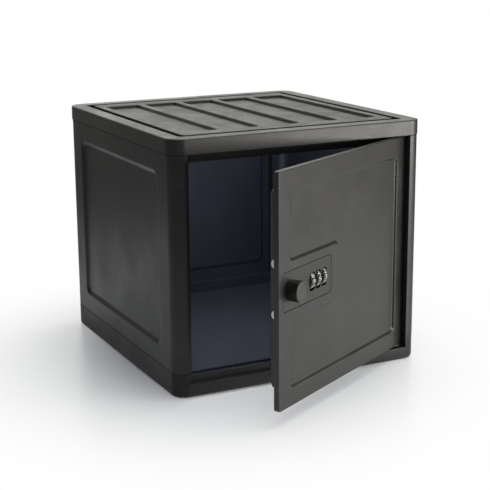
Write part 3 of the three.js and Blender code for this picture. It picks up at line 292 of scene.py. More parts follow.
def meshObject(name, points, faces, place=standing):
    mesh = bpy.data.meshes.new(name)
    mesh.from_pydata((place(np.asarray(points, float)) * 0.001).tolist(), [], faces)
    mesh.update()
    return addObject(name, mesh)


def meshOf(piece):
    # A new mesh of what a piece looks like after its modifiers.
    return bpy.data.meshes.new_from_object(piece.evaluated_get(bpy.context.evaluated_depsgraph_get()))


def takeArrays(work):
    # The points and faces of a bmesh, which is then freed.
    points = np.array([v.co for v in work.verts])
    faces = [[v.index for v in face.verts] for face in work.faces]
    work.free()
    return points, faces


def readArray(things, label, width=1, kind=float):
    # One value or row of values for each vertex, edge, corner or face.
    values = np.zeros(len(things) * width, kind)
    things.foreach_get(label, values)
    return values.reshape(-1, width) if width > 1 else values


def smoothed(piece, angle):
    mesh = piece.data
    mesh.polygons.foreach_set("use_smooth", np.ones(len(mesh.polygons), bool))
    mesh.set_sharp_from_angle(angle=math.radians(angle))
    return piece


edgeMarkScale = {"least": 0.03, "span": 0.15, "wideFace": 1.1}


def markWear(piece, seams=()):
    # The mark is how far the neighbours lie below a point's tangent plane, so it is high on outward edges,
    # which the grain group paints paler, for rubbing and as a painted highlight; in a joint, a box between
    # two corners, it is negative, and the grain group paints shade there: the plastic goes dark and dull.
    mesh, w = piece.data, edgeMarkScale
    points, normals = readArray(mesh.vertices, "co", 3), readArray(mesh.vertices, "normal", 3)
    a, b = readArray(mesh.edges, "vertices", 2, int).T
    along = points[b] - points[a]
    lengths = np.linalg.norm(along, axis=1)
    along /= np.maximum(lengths, 1e-9)[:, None]
    bend, count = np.zeros(len(points)), np.zeros(len(points))
    for end, fall in ((a, -(along * normals[a]).sum(1)), (b, (along * normals[b]).sum(1))):
        np.add.at(bend, end, fall)
        np.add.at(count, end, 1)
    amount = np.clip((bend / np.maximum(count, 1) - w["least"]) / w["span"], 0, 1)
    # Points of wide faces stay plain, so that none fades across; width = twice the area over the outline.
    starts = readArray(mesh.polygons, "loop_start", 1, int)
    corner = readArray(mesh.loops, "vertex_index", 1, int)
    outline = np.add.reduceat(lengths[readArray(mesh.loops, "edge_index", 1, int)], starts)
    wide = 2 * readArray(mesh.polygons, "area") / np.maximum(outline, 1e-9) > w["wideFace"] * 0.001
    owner = np.searchsorted(starts, np.arange(len(corner)), side="right") - 1
    amount[corner[wide[owner]]] = 0
    # Painted shade: each box between two corners sets its points' mark below zero, as far as its darkness.
    for low, high, dark in seams:
        amount[((points > np.array(low) * 0.001) & (points < np.array(high) * 0.001)).all(1)] = -dark
    mesh.attributes.new("wearAndPaintedLight", "FLOAT", "POINT").data.foreach_set("value", amount)


cavity = {"reach": (146.6, 154.0, 265.0), "front": -149.5, "middle": (0, 0, 130), "slack": 4.0}


def lineInside(piece, liningAndCoolLight):
    # Faces that look to the middle of the box take the inner finish, a paler blue-grey that is partly its own
    # tone and partly painted cool light.
    mesh = piece.data
    middles = readArray(mesh.polygons, "center", 3) * 1000
    within = (np.abs(middles) < cavity["reach"]).all(1) & (middles[:, 1] > cavity["front"])
    facing = ((middles - cavity["middle"]) * readArray(mesh.polygons, "normal", 3)).sum(1) < cavity["slack"]
    mesh.materials.append(liningAndCoolLight)
    mesh.polygons.foreach_set("material_index", (within & facing).astype(int))
    mesh.update()


def flatten(piece):
    # Keeps the normals of large faces straight up to their rounded edges.
    flat = piece.modifiers.new("flatFaces", "WEIGHTED_NORMAL")
    flat.keep_sharp = True
    flat.weight = 80


def settle(piece, look, node, slot, smooth=34, seams=()):
    # Gives a piece its material and its body, and lets it stand for a node.
    smoothed(piece, smooth)
    flatten(piece)
    markWear(piece, seams)
    piece.data.materials.clear()
    piece.data.materials.append(look)
    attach(piece, bodyOf[node])
    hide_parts(node)
    return piece


def makePiece(name, shape, look, node, slot, place=standing, cuts=(), lined=False, **more):
    # A piece from points and faces, with its cuts, its finish and, where it is lined, the inner finish.
    piece = meshObject(name, *shape, place)
    for cut in cuts:
        carve(piece, meshObject("cutter", *cut, place))
    settle(piece, finish[look], node, slot, **more)
    if lined:
        lineInside(piece, finish["inner"])
    return piece


def setInStone(piece):
    # Makes the modifiers' result the piece's own mesh.
    old, made = piece.data, meshOf(piece)
    piece.modifiers.clear()
    piece.data = made
    bpy.data.meshes.remove(old)


def carve(piece, cutter):
    # Cuts a closed shape out of a piece and removes it.
    tool = piece.modifiers.new("cut", "BOOLEAN")
    tool.operation = "DIFFERENCE"
    tool.solver = "EXACT"
    tool.object = cutter
    setInStone(piece)
    bpy.data.objects.remove(cutter)


def soften(piece, edge, clamp, sharp=30):
    # Rounds the edges that are sharper than this angle.
    bevel = piece.modifiers.new("softEdges", "BEVEL")
    bevel.width = edge * 0.001
    bevel.segments = 2
    bevel.limit_method = "ANGLE"
    bevel.angle_limit = math.radians(sharp)
    bevel.miter_outer = "MITER_ARC"
    bevel.use_clamp_overlap = clamp
    setInStone(piece)


def dressCopy(node, look, slot, edge, ribbed=False, flat=0.5):
    # A copy of a node's mesh, merged, with its triangles joined where they are flat and its edges softened.
    # The ribbed tray keeps its triangles, and its shortest edge doesn't hold back the softening.
    work = bmesh.new()
    work.from_mesh(nodes[node].data)
    bmesh.ops.remove_doubles(work, verts=work.verts, dist=0.000002)
    if not ribbed:
        bmesh.ops.dissolve_limit(work, angle_limit=math.radians(flat), verts=work.verts, edges=work.edges)
    points, faces = takeArrays(work)
    piece = meshObject(node + "_dressed", points * 1000, faces)
    if edge:
        soften(piece, edge, not ribbed)
    return settle(piece, look, node, slot, 40)


# Materials.

def newMaterial(name):
    material = bpy.data.materials.new(name)
    material.use_nodes = True
    tree = material.node_tree
    tree.nodes.clear()
    out = tree.nodes.new("ShaderNodeOutputMaterial")
    shader = tree.nodes.new("ShaderNodeBsdfPrincipled")
    tree.links.new(shader.outputs[0], out.inputs[0])
    return material, tree, shader


def newGroup(name, inputs, outputs):
    # A node group with its inputs (first values) and outputs (kinds); gives its ends' sockets as well.
    group = bpy.data.node_groups.new(name, "ShaderNodeTree")
    kinds = {0: "Float", 3: "Vector", 4: "Color"}
    for label, value in inputs.items():
        kind = kinds[len(value) if isinstance(value, tuple) else 0]
        socket = group.interface.new_socket(name=label, in_out="INPUT", socket_type="NodeSocket" + kind)
        socket.default_value = value
    for label, kind in outputs.items():
        group.interface.new_socket(name=label, in_out="OUTPUT", socket_type="NodeSocket" + kind)
    return group, group.nodes.new("NodeGroupInput").outputs, group.nodes.new("NodeGroupOutput").inputs


def feed(tree, node, sockets):
    # Links each input to an output, or sets its own value.
    for label, value in sockets.items():
        if isinstance(value, bpy.types.NodeSocket):
            tree.links.new(value, node.inputs[label])
        else:
            node.inputs[label].default_value = value


def addNode(tree, kind, sockets, out=0, **settings):
    # Adds a shader node with its settings, feeds its inputs and gives back one of its outputs.
    node = tree.nodes.new("ShaderNode" + kind)
    for label, value in settings.items():
        setattr(node, label, value)
    feed(tree, node, sockets)
    return node.outputs[out]


def addMath(tree, operation, *values, clamp=False):
    return addNode(tree, "Math", dict(enumerate(values)), operation=operation, use_clamp=clamp)


def addRamp(tree, value, low, high, start=0.0, end=1.0, shape="LINEAR"):
    # Takes low to high of a value over to start to end.
    sockets = {"Value": value, "From Min": low, "From Max": high, "To Min": start, "To Max": end}
    return addNode(tree, "MapRange", sockets, interpolation_type=shape)


def mixColors(tree, share, first, second):
    return addNode(tree, "Mix", {"Factor": share, "A": first, "B": second}, out="Result", data_type="RGBA")


def linear(r, g, b):
    # A display colour from 0 to 255 as the shader's linear value.
    values = [c / 255 for c in (r, g, b)]
    return tuple(c / 12.92 if c <= 0.04045 else ((c + 0.055) / 1.055) ** 2.4 for c in values) + (1.0,)


grainInputs = {
    "Color": (0.02, 0.02, 0.02, 1), "Grain Size": 1400.0, "Mottle Size": 14.0, "Mottle": 0.15,
    "Roughness": 0.45, "Roughness Spread": 0.1, "Dust": 0.1, "WearAndHighlight": 0.3, "Leather": 2.0,
}
# The pale edge colour is rubbing together with a painted highlight; the near-black one is painted shade in
# joints.
grainLook = {
    "grainDetail": 2.0, "mottleDetail": 3.0, "mottleRoughness": 0.6, "mottleSpan": (0.2, 0.8),
    "wornAndHighlight": (0.09, 0.088, 0.082, 1), "dust": (0.23, 0.225, 0.21, 1), "dustSlope": (0.7, 1.0),
    "speckSize": 90.0, "speckDetail": 6.0, "speckSpan": (0.35, 0.75), "seam": (0.002, 0.002, 0.002, 1),
    "leatherSize": 380.0, "leatherDetail": 1.0,
}


def makeGrainGroup():
    # Moulded plastic: fine spark-eroded grain over leather, slow mottling from handling, dust on top faces,
    # paler edges where the edge mark is positive, for rubbing and as a painted highlight, and painted shade,
    # dark and dull, in joints where it is negative.
    g = grainLook
    group, given, out = newGroup("mouldedGrain", grainInputs,
                                 {"Color": "Color", "Roughness": "Float", "Height": "Float"})
    place = addNode(group, "TexCoord", {}, out="Object")

    def noise(size, detail, **more):
        return addNode(group, "TexNoise", {"Vector": place, "Scale": size, "Detail": detail, **more})

    grain = noise(given["Grain Size"], g["grainDetail"])
    mottle = noise(given["Mottle Size"], g["mottleDetail"], Roughness=g["mottleRoughness"])
    spread = addRamp(group, mottle, *g["mottleSpan"], -1.0, 1.0, "SMOOTHSTEP")
    lift = addMath(group, "ADD", addMath(group, "MULTIPLY", spread, given["Mottle"]), 1.0)
    tint = addNode(group, "VectorMath", {0: given["Color"], "Scale": lift}, operation="SCALE")
    # The edge mark: above zero it paints paler edges with a highlight, below zero it paints shade.
    wearAndPaintedLight = addNode(group, "Attribute", {}, out="Fac", attribute_name="wearAndPaintedLight")
    seam = addMath(group, "MULTIPLY", wearAndPaintedLight, -1.0, clamp=True)
    edged = mixColors(group, addMath(group, "MULTIPLY", wearAndPaintedLight, given["WearAndHighlight"], clamp=True), tint, g["wornAndHighlight"])
    upward = addNode(group, "SeparateXYZ", {0: addNode(group, "NewGeometry", {}, out="Normal")}, out="Z")
    specks = addRamp(group, noise(g["speckSize"], g["speckDetail"]), *g["speckSpan"])
    settled = addMath(group, "MULTIPLY", addRamp(group, upward, *g["dustSlope"]), specks)
    dust = addMath(group, "MULTIPLY", settled, given["Dust"])
    color = mixColors(group, seam, mixColors(group, dust, edged, g["dust"]), g["seam"])
    rough = addMath(group, "MULTIPLY_ADD", spread, given["Roughness Spread"], given["Roughness"])
    rough = addMath(group, "MAXIMUM", addMath(group, "ADD", rough, dust, clamp=True), seam)
    hide = noise(g["leatherSize"], g["leatherDetail"])
    height = addMath(group, "MULTIPLY_ADD", hide, given["Leather"], grain)
    for label, value in (("Color", color), ("Roughness", rough), ("Height", height)):
        group.links.new(value, out[label])
    return group


grainGroup = makeGrainGroup()


def mouldedPlastic(name, color, roughness, spread=0.07, grain=1400, mottle=0.14, dust=0.12, bump=0.00005,
                   specular=0.5, wearAndPaintedLight=0.35, mottleSize=14, leather=2.0):
    # One moulded plastic: the grain group feeds colour, roughness and the height of a bump.
    material, tree, shader = newMaterial(name)
    group = tree.nodes.new("ShaderNodeGroup")
    group.node_tree = grainGroup
    feed(tree, group, {"Color": linear(*color), "Grain Size": grain, "Mottle": mottle, "Dust": dust,
                       "Mottle Size": mottleSize, "Roughness": roughness, "Roughness Spread": spread,
                       "WearAndHighlight": wearAndPaintedLight, "Leather": leather})
    made = group.outputs
    bumped = addNode(tree, "Bump", {"Strength": 1.0, "Distance": bump, "Height": made["Height"]})
    feed(tree, shader, {"Base Color": made["Color"], "Roughness": made["Roughness"], "Normal": bumped,
                        "Specular IOR Level": specular})
    return material


def turnedMetal(name, color, roughness, metallic=1.0, scratch=0.08, scale=(900, 900, 40), detail=3.0,
                shade=0.86, bump=0.00002):
    # Metal with fine tool marks: stretched noise feeds tone, roughness and a bump.
    material, tree, shader = newMaterial(name)
    place = addNode(tree, "TexCoord", {}, out="Object")
    stretched = addNode(tree, "Mapping", {"Vector": place, "Scale": scale})
    marks = addNode(tree, "TexNoise", {"Vector": stretched, "Scale": 1.0, "Detail": detail})
    rough = addRamp(tree, marks, 0.0, 1.0, roughness - scratch, roughness + scratch)
    tone = mixColors(tree, marks, linear(*[c * shade for c in color]), linear(*color))
    bumped = addNode(tree, "Bump", {"Distance": bump, "Height": marks})
    feed(tree, shader, {"Base Color": tone, "Roughness": rough, "Normal": bumped, "Metallic": metallic})
    return material


def feltedMat(name, color, roughness=0.85, cellSize=620.0, cellShare=0.6, slowSize=26.0, slowDetail=5.0,
              shades=(0.72, 1.18), bump=0.00025):
    # A soft closed-cell mat: pebbled cells over a slow tone change.
    material, tree, shader = newMaterial(name)
    place = addNode(tree, "TexCoord", {}, out="Object")
    cells = addNode(tree, "TexVoronoi", {"Vector": place, "Scale": cellSize}, out="Distance")
    slow = addNode(tree, "TexNoise", {"Vector": place, "Scale": slowSize, "Detail": slowDetail})
    share = addMath(tree, "MULTIPLY_ADD", cells, cellShare, slow)
    dark, pale = (linear(*[c * shade for c in color]) for shade in shades)
    bumped = addNode(tree, "Bump", {"Distance": bump, "Height": cells})
    feed(tree, shader, {"Base Color": mixColors(tree, share, dark, pale), "Roughness": roughness,
                        "Normal": bumped})
    return material


# Shell, cap, door and base are one black plastic: the cap and the door are painted a little lighter and the
# base darker, as painted light and shade.
finish = {
    "shell": mouldedPlastic("shellPlastic", (27, 27, 26), 0.38, specular=0.42),
    "cap": mouldedPlastic("capPlasticPaintedLit", (30, 29, 28), 0.36, specular=0.44),
    "top": mouldedPlastic("topPlastic", (33, 32, 30), 0.42, mottle=0.12, dust=0.08, mottleSize=30),
    "door": mouldedPlastic("doorPlasticPaintedLit", (36, 35, 33), 0.34, mottle=0.18, mottleSize=22, leather=3.0,
                           wearAndPaintedLight=0.15),
    # Paler and bluer than the shell: partly its own tone, partly painted cool light.
    "inner": mouldedPlastic("innerPlasticAndCoolLight", (42, 44, 55), 0.5, dust=0.05),
    "plate": mouldedPlastic("platePlastic", (28, 27, 26), 0.42, grain=2200, bump=0.00003),
    # The knob's side takes a darker copy of its plastic and its face a paler one: painted shade and painted
    # light.
    "knob": mouldedPlastic("knobPlasticPaintedShade", (20, 19, 18), 0.4, grain=2600, bump=0.00002, specular=0.3,
                           leather=0.5),
    "knobFace": mouldedPlastic("knobFacePlasticPaintedLit", (48, 47, 44), 0.4, grain=2600, bump=0.00002, leather=0.5),
    # The base's strong paler edges are mostly painted highlight lines along the sill.
    "base": mouldedPlastic("basePlasticPaintedShade", (25, 25, 25), 0.4, specular=0.3, wearAndPaintedLight=0.6),
    "wheel": mouldedPlastic("wheelPlastic", (20, 20, 20), 0.35, grain=2600, bump=0.00002, dust=0.0),
    "white": mouldedPlastic("numeralPaint", (196, 196, 190), 0.5, grain=3000, bump=0.00001, mottle=0.04,
                            dust=0),
    "nylon": mouldedPlastic("nylonWasher", (214, 212, 205), 0.5, mottle=0.05),
    # Plated steel; its near-white colour, mostly diffuse at this low metallic share, paints in the reflection
    # of the bright room.
    "bolt": turnedMetal("boltZincPaintedSheen", (240, 238, 232), 0.45, metallic=0.3),
    "plated": turnedMetal("platedSteel", (190, 188, 184), 0.34),
    "spring": turnedMetal("springSteel", (150, 150, 152), 0.34),
    "screw": turnedMetal("screwSteel", (170, 168, 164), 0.32),
    # The mat's blue tint is partly its own tone and partly painted cool light.
    "mat": feltedMat("matFoamAndCoolLight", (45, 47, 56)),
}
print("materials made:", len(finish))


# Side walls: a plan outline carried upwards, with the field pressed into both its faces.

# Painted shade: bands along the joints with the base and with the cap, where the walls are painted dark and
# dull.
wallSeamShade = [((-200, -200, 26), (200, 200, shell["low"] + shell["seam"]), 1),
             ((-200, -200, shell["high"] - shell["seam"]), (200, 200, 262), 1)]
sideWall = {
    "edge": 0.45, "edgeRun": 1.2, "grid": (14, 16), "straight": 118, "nearEnd": (105, 118, 0.8),
    "slope": ((-1.5, 12, 0.8),), "lapX": (121.2, 127.2), "lip": 0.5, "lapEdge": 0.3, "lapFoot": 0.4,
    "pocketEdge": 0.8, "pocketFoot": 1.2, "stopEdge": 1.0,
    # Blocks: x, y and z from and to, edge, corner.
    "tongue": (144.2, 146.7, -107.7, 116.2, 250.1, 261.6, 0.3, 0.4),
    "seat": (-129.4, -126.0, -148.2, -133.0, 98.8, 174.8, 0.05, 0.05),
    "tabX": (134.8, 146.8), "tabsY": (-116.7, 125.2), "tabHalf": 5, "tabZ": (253.1, 257.1, 0.3, 2.0),
    "footPost": (141.4, 148.9, 4.6, 27.0, 48.0), "boreRadius": 5.4, "boreX": (126.0, 138.7), "boreY": -142.8,
}


def fieldPress(along, z, halfLength, within=False):
    # The pressed field's depth: a ramp over the slope's run, inside a rectangle with round corners. It is a
    # little larger on the wall's inner face.
    low, high = shell["fieldZ"]
    grow = shell["innerGrow"] if within else 0.0
    inside = insideRound(along, z, -halfLength - grow, halfLength + grow, low - grow, high + grow,
                         shell["fieldRadius"])
    return shell["fieldDepth"] * softRamp(inside, shell["fieldRun"], shell["fieldSoft"])


def nearX(loop, x):
    return np.abs(loop[:, 0] - x) < 1e-3


def withStops(loop, x, stops):
    # Puts more points on the long straight side at this x, in the side's own direction.
    ahead = np.roll(loop, -1, axis=0)
    long = np.abs(ahead[:, 1] - loop[:, 1]) > sideWall["nearEnd"][0]
    side = np.nonzero(nearX(loop, x) & nearX(ahead, x) & long)[0][0]
    y = stops if ahead[side, 1] > loop[side, 1] else stops[::-1]
    return np.concatenate([loop[:side + 1], np.stack([np.full(len(y), x), y], axis=1), loop[side + 1:]])


def wallOutline(hingeSide):
    w, x, y, wall = sideWall, shell["halfX"], shell["halfY"], shell["wall"]
    inner, (lapIn, lapOut), lip, edge = x - wall, w["lapX"], w["lip"], w["pocketEdge"]
    outline = [
        (shell["openHalf"], -y, lip), (x, -y, shell["round"] - lip), (x, y, shell["round"]),
        (lapIn, y, lip), (lapIn, y - wall / 2, w["lapEdge"]), (lapOut, y - wall / 2, w["lapEdge"]),
        (lapOut, y - wall, w["lapFoot"]), (inner, y - wall, shell["round"] - wall),
    ]
    if hingeSide:
        pocketX, frontY, backY = shell["hingePocket"]
        last = lip
    else:
        pocketX, frontY, backY = shell["stopX"], shell["stopY"], shell["strikeBackY"]
        last = w["stopEdge"]
    outline += [(inner, backY, w["pocketFoot"]), (pocketX, backY, edge), (pocketX, frontY, edge),
                (shell["openHalf"], frontY, last)]
    end = w["straight"]
    stops = stopsOf(-end, end, w["grid"][0], *mirrorRuns(w["nearEnd"]))
    return withStops(withStops(filletedLoop(outline, 8), x, stops), inner, stops)


def wallShape(hingeSide):
    w, loop = sideWall, wallOutline(hingeSide)
    edge, low, high = w["edge"], shell["low"], shell["high"]
    fieldLow, fieldHigh = shell["fieldZ"]
    slopes = runsFrom(fieldLow, 1, w["slope"]) + runsFrom(fieldHigh, -1, w["slope"])
    straight = stopsOf(low + w["edgeRun"], high - w["edgeRun"], w["grid"][1], *slopes)
    rows = [footArc(edge, low, 3), np.stack([0 * straight, straight], axis=1), topArc(edge, high, 3)]
    points = stackRows(loop, np.concatenate(rows))
    x, y, z = points[..., 0], points[..., 1], points[..., 2]
    flat = np.abs(loop[:, 1]) < w["straight"] + 2
    outer, inner = nearX(loop, shell["halfX"]) & flat, nearX(loop, shell["halfX"] - shell["wall"]) & flat
    x -= outer * fieldPress(y, z, shell["fieldY"]) + inner * fieldPress(y, z, shell["fieldY"], True)
    parts = [loopFaces(points), softBlock(*w["tongue"]), postShape(*w["footPost"])]
    for middle in w["tabsY"]:
        ends = (middle - w["tabHalf"], middle + w["tabHalf"])
        parts.append(softBlock(*w["tabX"], *ends, *w["tabZ"]))
    return joined(*parts)


def makeSideWalls():
    w = sideWall
    bores = []
    for z in bolt["heights"]:
        points, faces = loopFaces(latheRows([(w["boreRadius"], x) for x in w["boreX"]], 40))
        bores.append((latchFacing(points) + (0, w["boreY"], z), faces))
    right, left = wallShape(True), mirroredX(*wallShape(False))
    cuts = [softBlock(*w["seat"]), joined(*bores)]
    makePiece("rightWall", right, "shell", "right_side_wall", "shell_plastic", lined=True, seams=wallSeamShade)
    makePiece("leftWall", left, "shell", "left_side_wall", "shell_plastic", cuts=cuts, lined=True,
              seams=wallSeamShade)
    print("side walls made")


# Rear wall, with a wing behind each end that the side walls lap.

rearWall = {
    "halfX": 120.8, "edge": 0.5, "round": 1.0, "grid": (14, 16), "rim": ((0, 0.8, 0.2),),
    "slopeX": (98, 112.2, 0.8), "slopesZ": ((46.1, 60, 0.8), (224, 238, 0.8)),
    "wingX": 123.6, "wingHalf": 3.2, "wingY": (153.3, 154.8), "wingSoft": (0.2, 0.3),
}


def makeRearWall():
    w, half, low, high = rearWall, rearWall["halfX"], shell["low"], shell["high"]
    (gridA, gridB), rim = w["grid"], w["rim"]
    stopsA = stopsOf(-half, half, gridA, *mirrorRuns(w["slopeX"], *runsFrom(half, -1, rim)))
    stopsB = stopsOf(low, high, gridB, *runsFrom(low, 1, rim), *runsFrom(high, -1, rim), *w["slopesZ"])
    slab, faces = reliefSlab(
        stopsA, stopsB,
        lambda a, b, rim: edgeDrop(rim, w["edge"]) + fieldPress(a, b, shell["fieldX"]),
        lambda a, b, rim: shell["wall"] + fieldPress(a, b, shell["fieldX"], True), w["round"])
    points = np.stack([-slab[:, 0], shell["halfY"] - slab[:, 1], slab[:, 2]], axis=1)
    wings = [softBlock(x - w["wingHalf"], x + w["wingHalf"], *w["wingY"], low, high, *w["wingSoft"])
             for x in (-w["wingX"], w["wingX"])]
    rear = joined((points, faces), *wings)
    makePiece("rearWall", rear, "shell", "rear_wall", "shell_plastic", lined=True, seams=wallSeamShade)
    print("rear wall made")


# Top cap and its ribbed panel.

cap = {
    "halfX": 150.0, "halfY": 157.5, "round": 16.0, "low": 257.5, "top": 274.0, "roof": 3, "lowEdge": 0.35,
    "edge": 1.4, "rim": 16.5, "rimEdge": 0.8, "wellRound": 5.0, "wellFoot": 0.5, "wellFloor": 267.6,
    "skirt": 3.0, "ceiling": 264.6, "ceilingIn": 13.5, "ceilingRound": 8,
    "header": (-133.9, 133.9, -155.5, -146.0, 257.5, 271.0, 0.35, 0.4),
    "rail": (-127.3, 109.8, -149.4, -146.0, 248.4, 264.8, 0.4, 0.6), "hingeBoss": (7, 257.5, 267.0, 32),
    "screwX": 140.8, "screwY": (-116.7, 125.2), "screwPost": (5, 257.5, 271),
    # Painted shade: a band along the skirt's lower joint, and the rail behind the header painted dark.
    "seams": (((-200, -200, 257.4), (200, 200, 257.75), 1),
              ((-127.5, -149.6, 248.0), (110.0, -145.8, 265.0), 0.8)),
}


def ringRow(inset, height, radius):
    # One round rectangle of the cap, this far in from its outside.
    loop = roundLoop(cap["halfX"] - inset, cap["halfY"] - inset, radius, 12)
    return np.concatenate([loop, np.full((len(loop), 1), height)], axis=1)


def makeTopCap():
    # Rings from the ceiling out to the skirt, up the outside, over the rim and down into the well.
    c = cap
    top, under, foot = c["top"], c["top"] - c["roof"], c["wellFoot"]
    rows = [ringRow(inset, height, radius) for inset, height, radius in (
        (c["ceilingIn"], c["ceiling"], c["ceilingRound"]), (c["ceilingIn"], under, c["ceilingRound"]),
        (c["skirt"], under, c["round"] - c["skirt"]), (c["skirt"], c["low"], c["round"] - c["skirt"]))]
    arcs = (
        (0, c["round"], footArc(c["lowEdge"], c["low"], 3)),
        (0, c["round"], topArc(c["edge"], top, 7)),
        (c["rim"], c["wellRound"], arcPairs(c["rimEdge"], 90, 0, (-c["rimEdge"], top - c["rimEdge"]), 4)),
        (c["rim"], c["wellRound"], arcPairs(foot, 180, 270, (foot, c["wellFloor"] + foot), 3)),
    )
    for inset, radius, arc in arcs:
        rows += [ringRow(inset + out, height, radius - out) for out, height in arc]
    parts = [loopFaces(np.stack(rows)), softBlock(*c["header"]), softBlock(*c["rail"]),
             postShape(hinge["x"], hinge["y"], *c["hingeBoss"])]
    parts += [postShape(x, y, *c["screwPost"]) for x in (-c["screwX"], c["screwX"]) for y in c["screwY"]]
    makePiece("topCap", joined(*parts), "cap", "top_cap", "shell_plastic", lined=True, seams=c["seams"])
    print("top cap made")


panel = {
    "halfX": 126.5, "halfY": 134.0, "bottom": 267.9, "pockets": 5, "rib": 8.0, "side": 9.0, "end": 20.0,
    "depth": 3.0, "run": 0.9, "pocketRound": 5.2, "round": 5.0, "edge": 0.7, "foot": (1.7, 0.6, 1.1),
    "grid": (7, 9), "wallRuns": ((-0.6, 3.4, 0.28), (4.0, 5.6, 0.8)),
    "rimRuns": ((0, 0.9, 0.18), (1, 5, 0.8)), "soft": 0.3, "grooveLow": 267.0, "grooveDrop": 3.25,
    "grooveShade": 0.8,
}


def makeTopPanel():
    p, halfX, halfY = panel, panel["halfX"], panel["halfY"]
    wide = (2 * halfX - 2 * p["side"] - (p["pockets"] - 1) * p["rib"]) / p["pockets"]
    starts = -halfX + p["side"] + np.arange(p["pockets"]) * (wide + p["rib"])
    reach = halfY - p["end"]

    def drop(a, b, rim):
        # A pocket is a ramp, with a groove at the foot of its wall: deep * exp(-((d - at) / width)^2).
        at, width, deep = p["foot"]
        pockets = 0
        for x in starts:
            inside = insideRound(a, b, x, x + wide, -reach, reach, p["pocketRound"])
            groove = deep * np.exp(-((inside - at) / width) ** 2)
            pockets = pockets + p["depth"] * softRamp(inside, p["run"], p["soft"]) + groove
        return edgeDrop(rim, p["edge"]) + pockets

    (gridA, gridB), wall, rimRuns = p["grid"], p["wallRuns"], p["rimRuns"]
    walls = [run for x in starts for run in runsFrom(x, 1, wall) + runsFrom(x + wide, -1, wall)]
    stopsA = stopsOf(-halfX, halfX, gridA, *walls, *mirrorRuns(*runsFrom(halfX, -1, rimRuns)))
    ends = runsFrom(halfY, -1, rimRuns) + runsFrom(reach, -1, wall)
    stopsB = stopsOf(-halfY, halfY, gridB, *mirrorRuns(*ends))
    slab = reliefSlab(stopsA, stopsB, drop, lambda a, b, rim: cap["top"] - p["bottom"], p["round"])
    # Painted shade in the grooves at the foot of the pocket walls, below this height.
    grooveShadeBox = ((-200, -200, p["grooveLow"]), (200, 200, cap["top"] - p["grooveDrop"]), p["grooveShade"])
    makePiece("topPanel", slab, "top", "top_panel", "shell_plastic", upFrom(cap["top"]), seams=[grooveShadeBox])
    print("top panel made")


# Floor mat, cut away in front of the hinge post.

mat = {"low": 16.3, "high": 19.0, "edge": 0.9, "halfX": 139.2, "front": -129.5, "back": 146.7, "round": 10,
       "notch": (96.83, -122.93), "notchEdge": 3, "notchFoot": 2}


def makeFloorMat():
    x, front, back, (notchX, notchY), edge = (mat[k] for k in ("halfX", "front", "back", "notch", "edge"))
    r, notch = mat["round"], mat["notchEdge"]
    loop = filletedLoop([(-x, front, r), (notchX, front, notch), (notchX, notchY, mat["notchFoot"]),
                         (x, notchY, notch), (x, back, r), (-x, back, r)], 7)
    rows = np.concatenate([[(0, mat["low"])], topArc(edge, mat["high"], 5)])
    makePiece("floorMat", loopFaces(stackRows(loop, rows)), "mat", "floor_mat", "mat_foam")
    print("floor mat made")


# Door panel: a slab with a recessed field that leaves the land round the lock proud.

doorPanel = {
    "low": 17.3, "high": 256.2, "left": alongDoor(261.0), "right": alongDoor(-0.7), "thick": 6.0,
    "edge": 0.8, "backEdge": 0.4, "round": 3.3, "field": (alongDoor(240.5), alongDoor(20.5), 35.8, 235.7),
    "fieldRound": 7.0, "fieldDepth": 2.0, "fieldRun": 2.6, "fieldSoft": 0.4, "landRight": alongDoor(148.6),
    "landPast": 60, "landZ": (107.2, 165.4), "landRound": 5.0, "landBlend": 4.0, "grid": 8,
    "rimRuns": ((0, 1, 0.2), (1.5, 3.5, 0.5)), "slopeRuns": ((-0.8, 8, 0.4),),
    "landRunsX": ((-6, 3.2, 0.4),), "landRunsZ": ((-6, 6, 0.4),), "pocket": (46.1, 20.2, 4.6),
    "pocketRows": ((0, -2.3), (0, 1.0)), "window": (18.1, 13.9, 1.5), "postBore": 3.3, "through": (-7.0, 0.5),
    # Painted shade on the field's slope along the hinge side.
    "seam": ((114.9, -200, 40), (117.3, 0, 231), 1.0),
}


def doorRelief(a, b, rim):
    d = doorPanel
    left, right, low, high = d["field"]
    inField = insideRound(a, b, left, right, low, high, d["fieldRound"])
    inLand = insideRound(a, b, left - d["landPast"], d["landRight"], *d["landZ"], d["landRound"])
    inside = softLeast(inField, -inLand, d["landBlend"])
    return edgeDrop(rim, d["edge"]) + d["fieldDepth"] * softRamp(inside, d["fieldRun"], d["fieldSoft"])


def outOfDoor(points):
    # A shape stacked outwards from the door's face, in the casing's place.
    return onDoor(frontFacing(points))


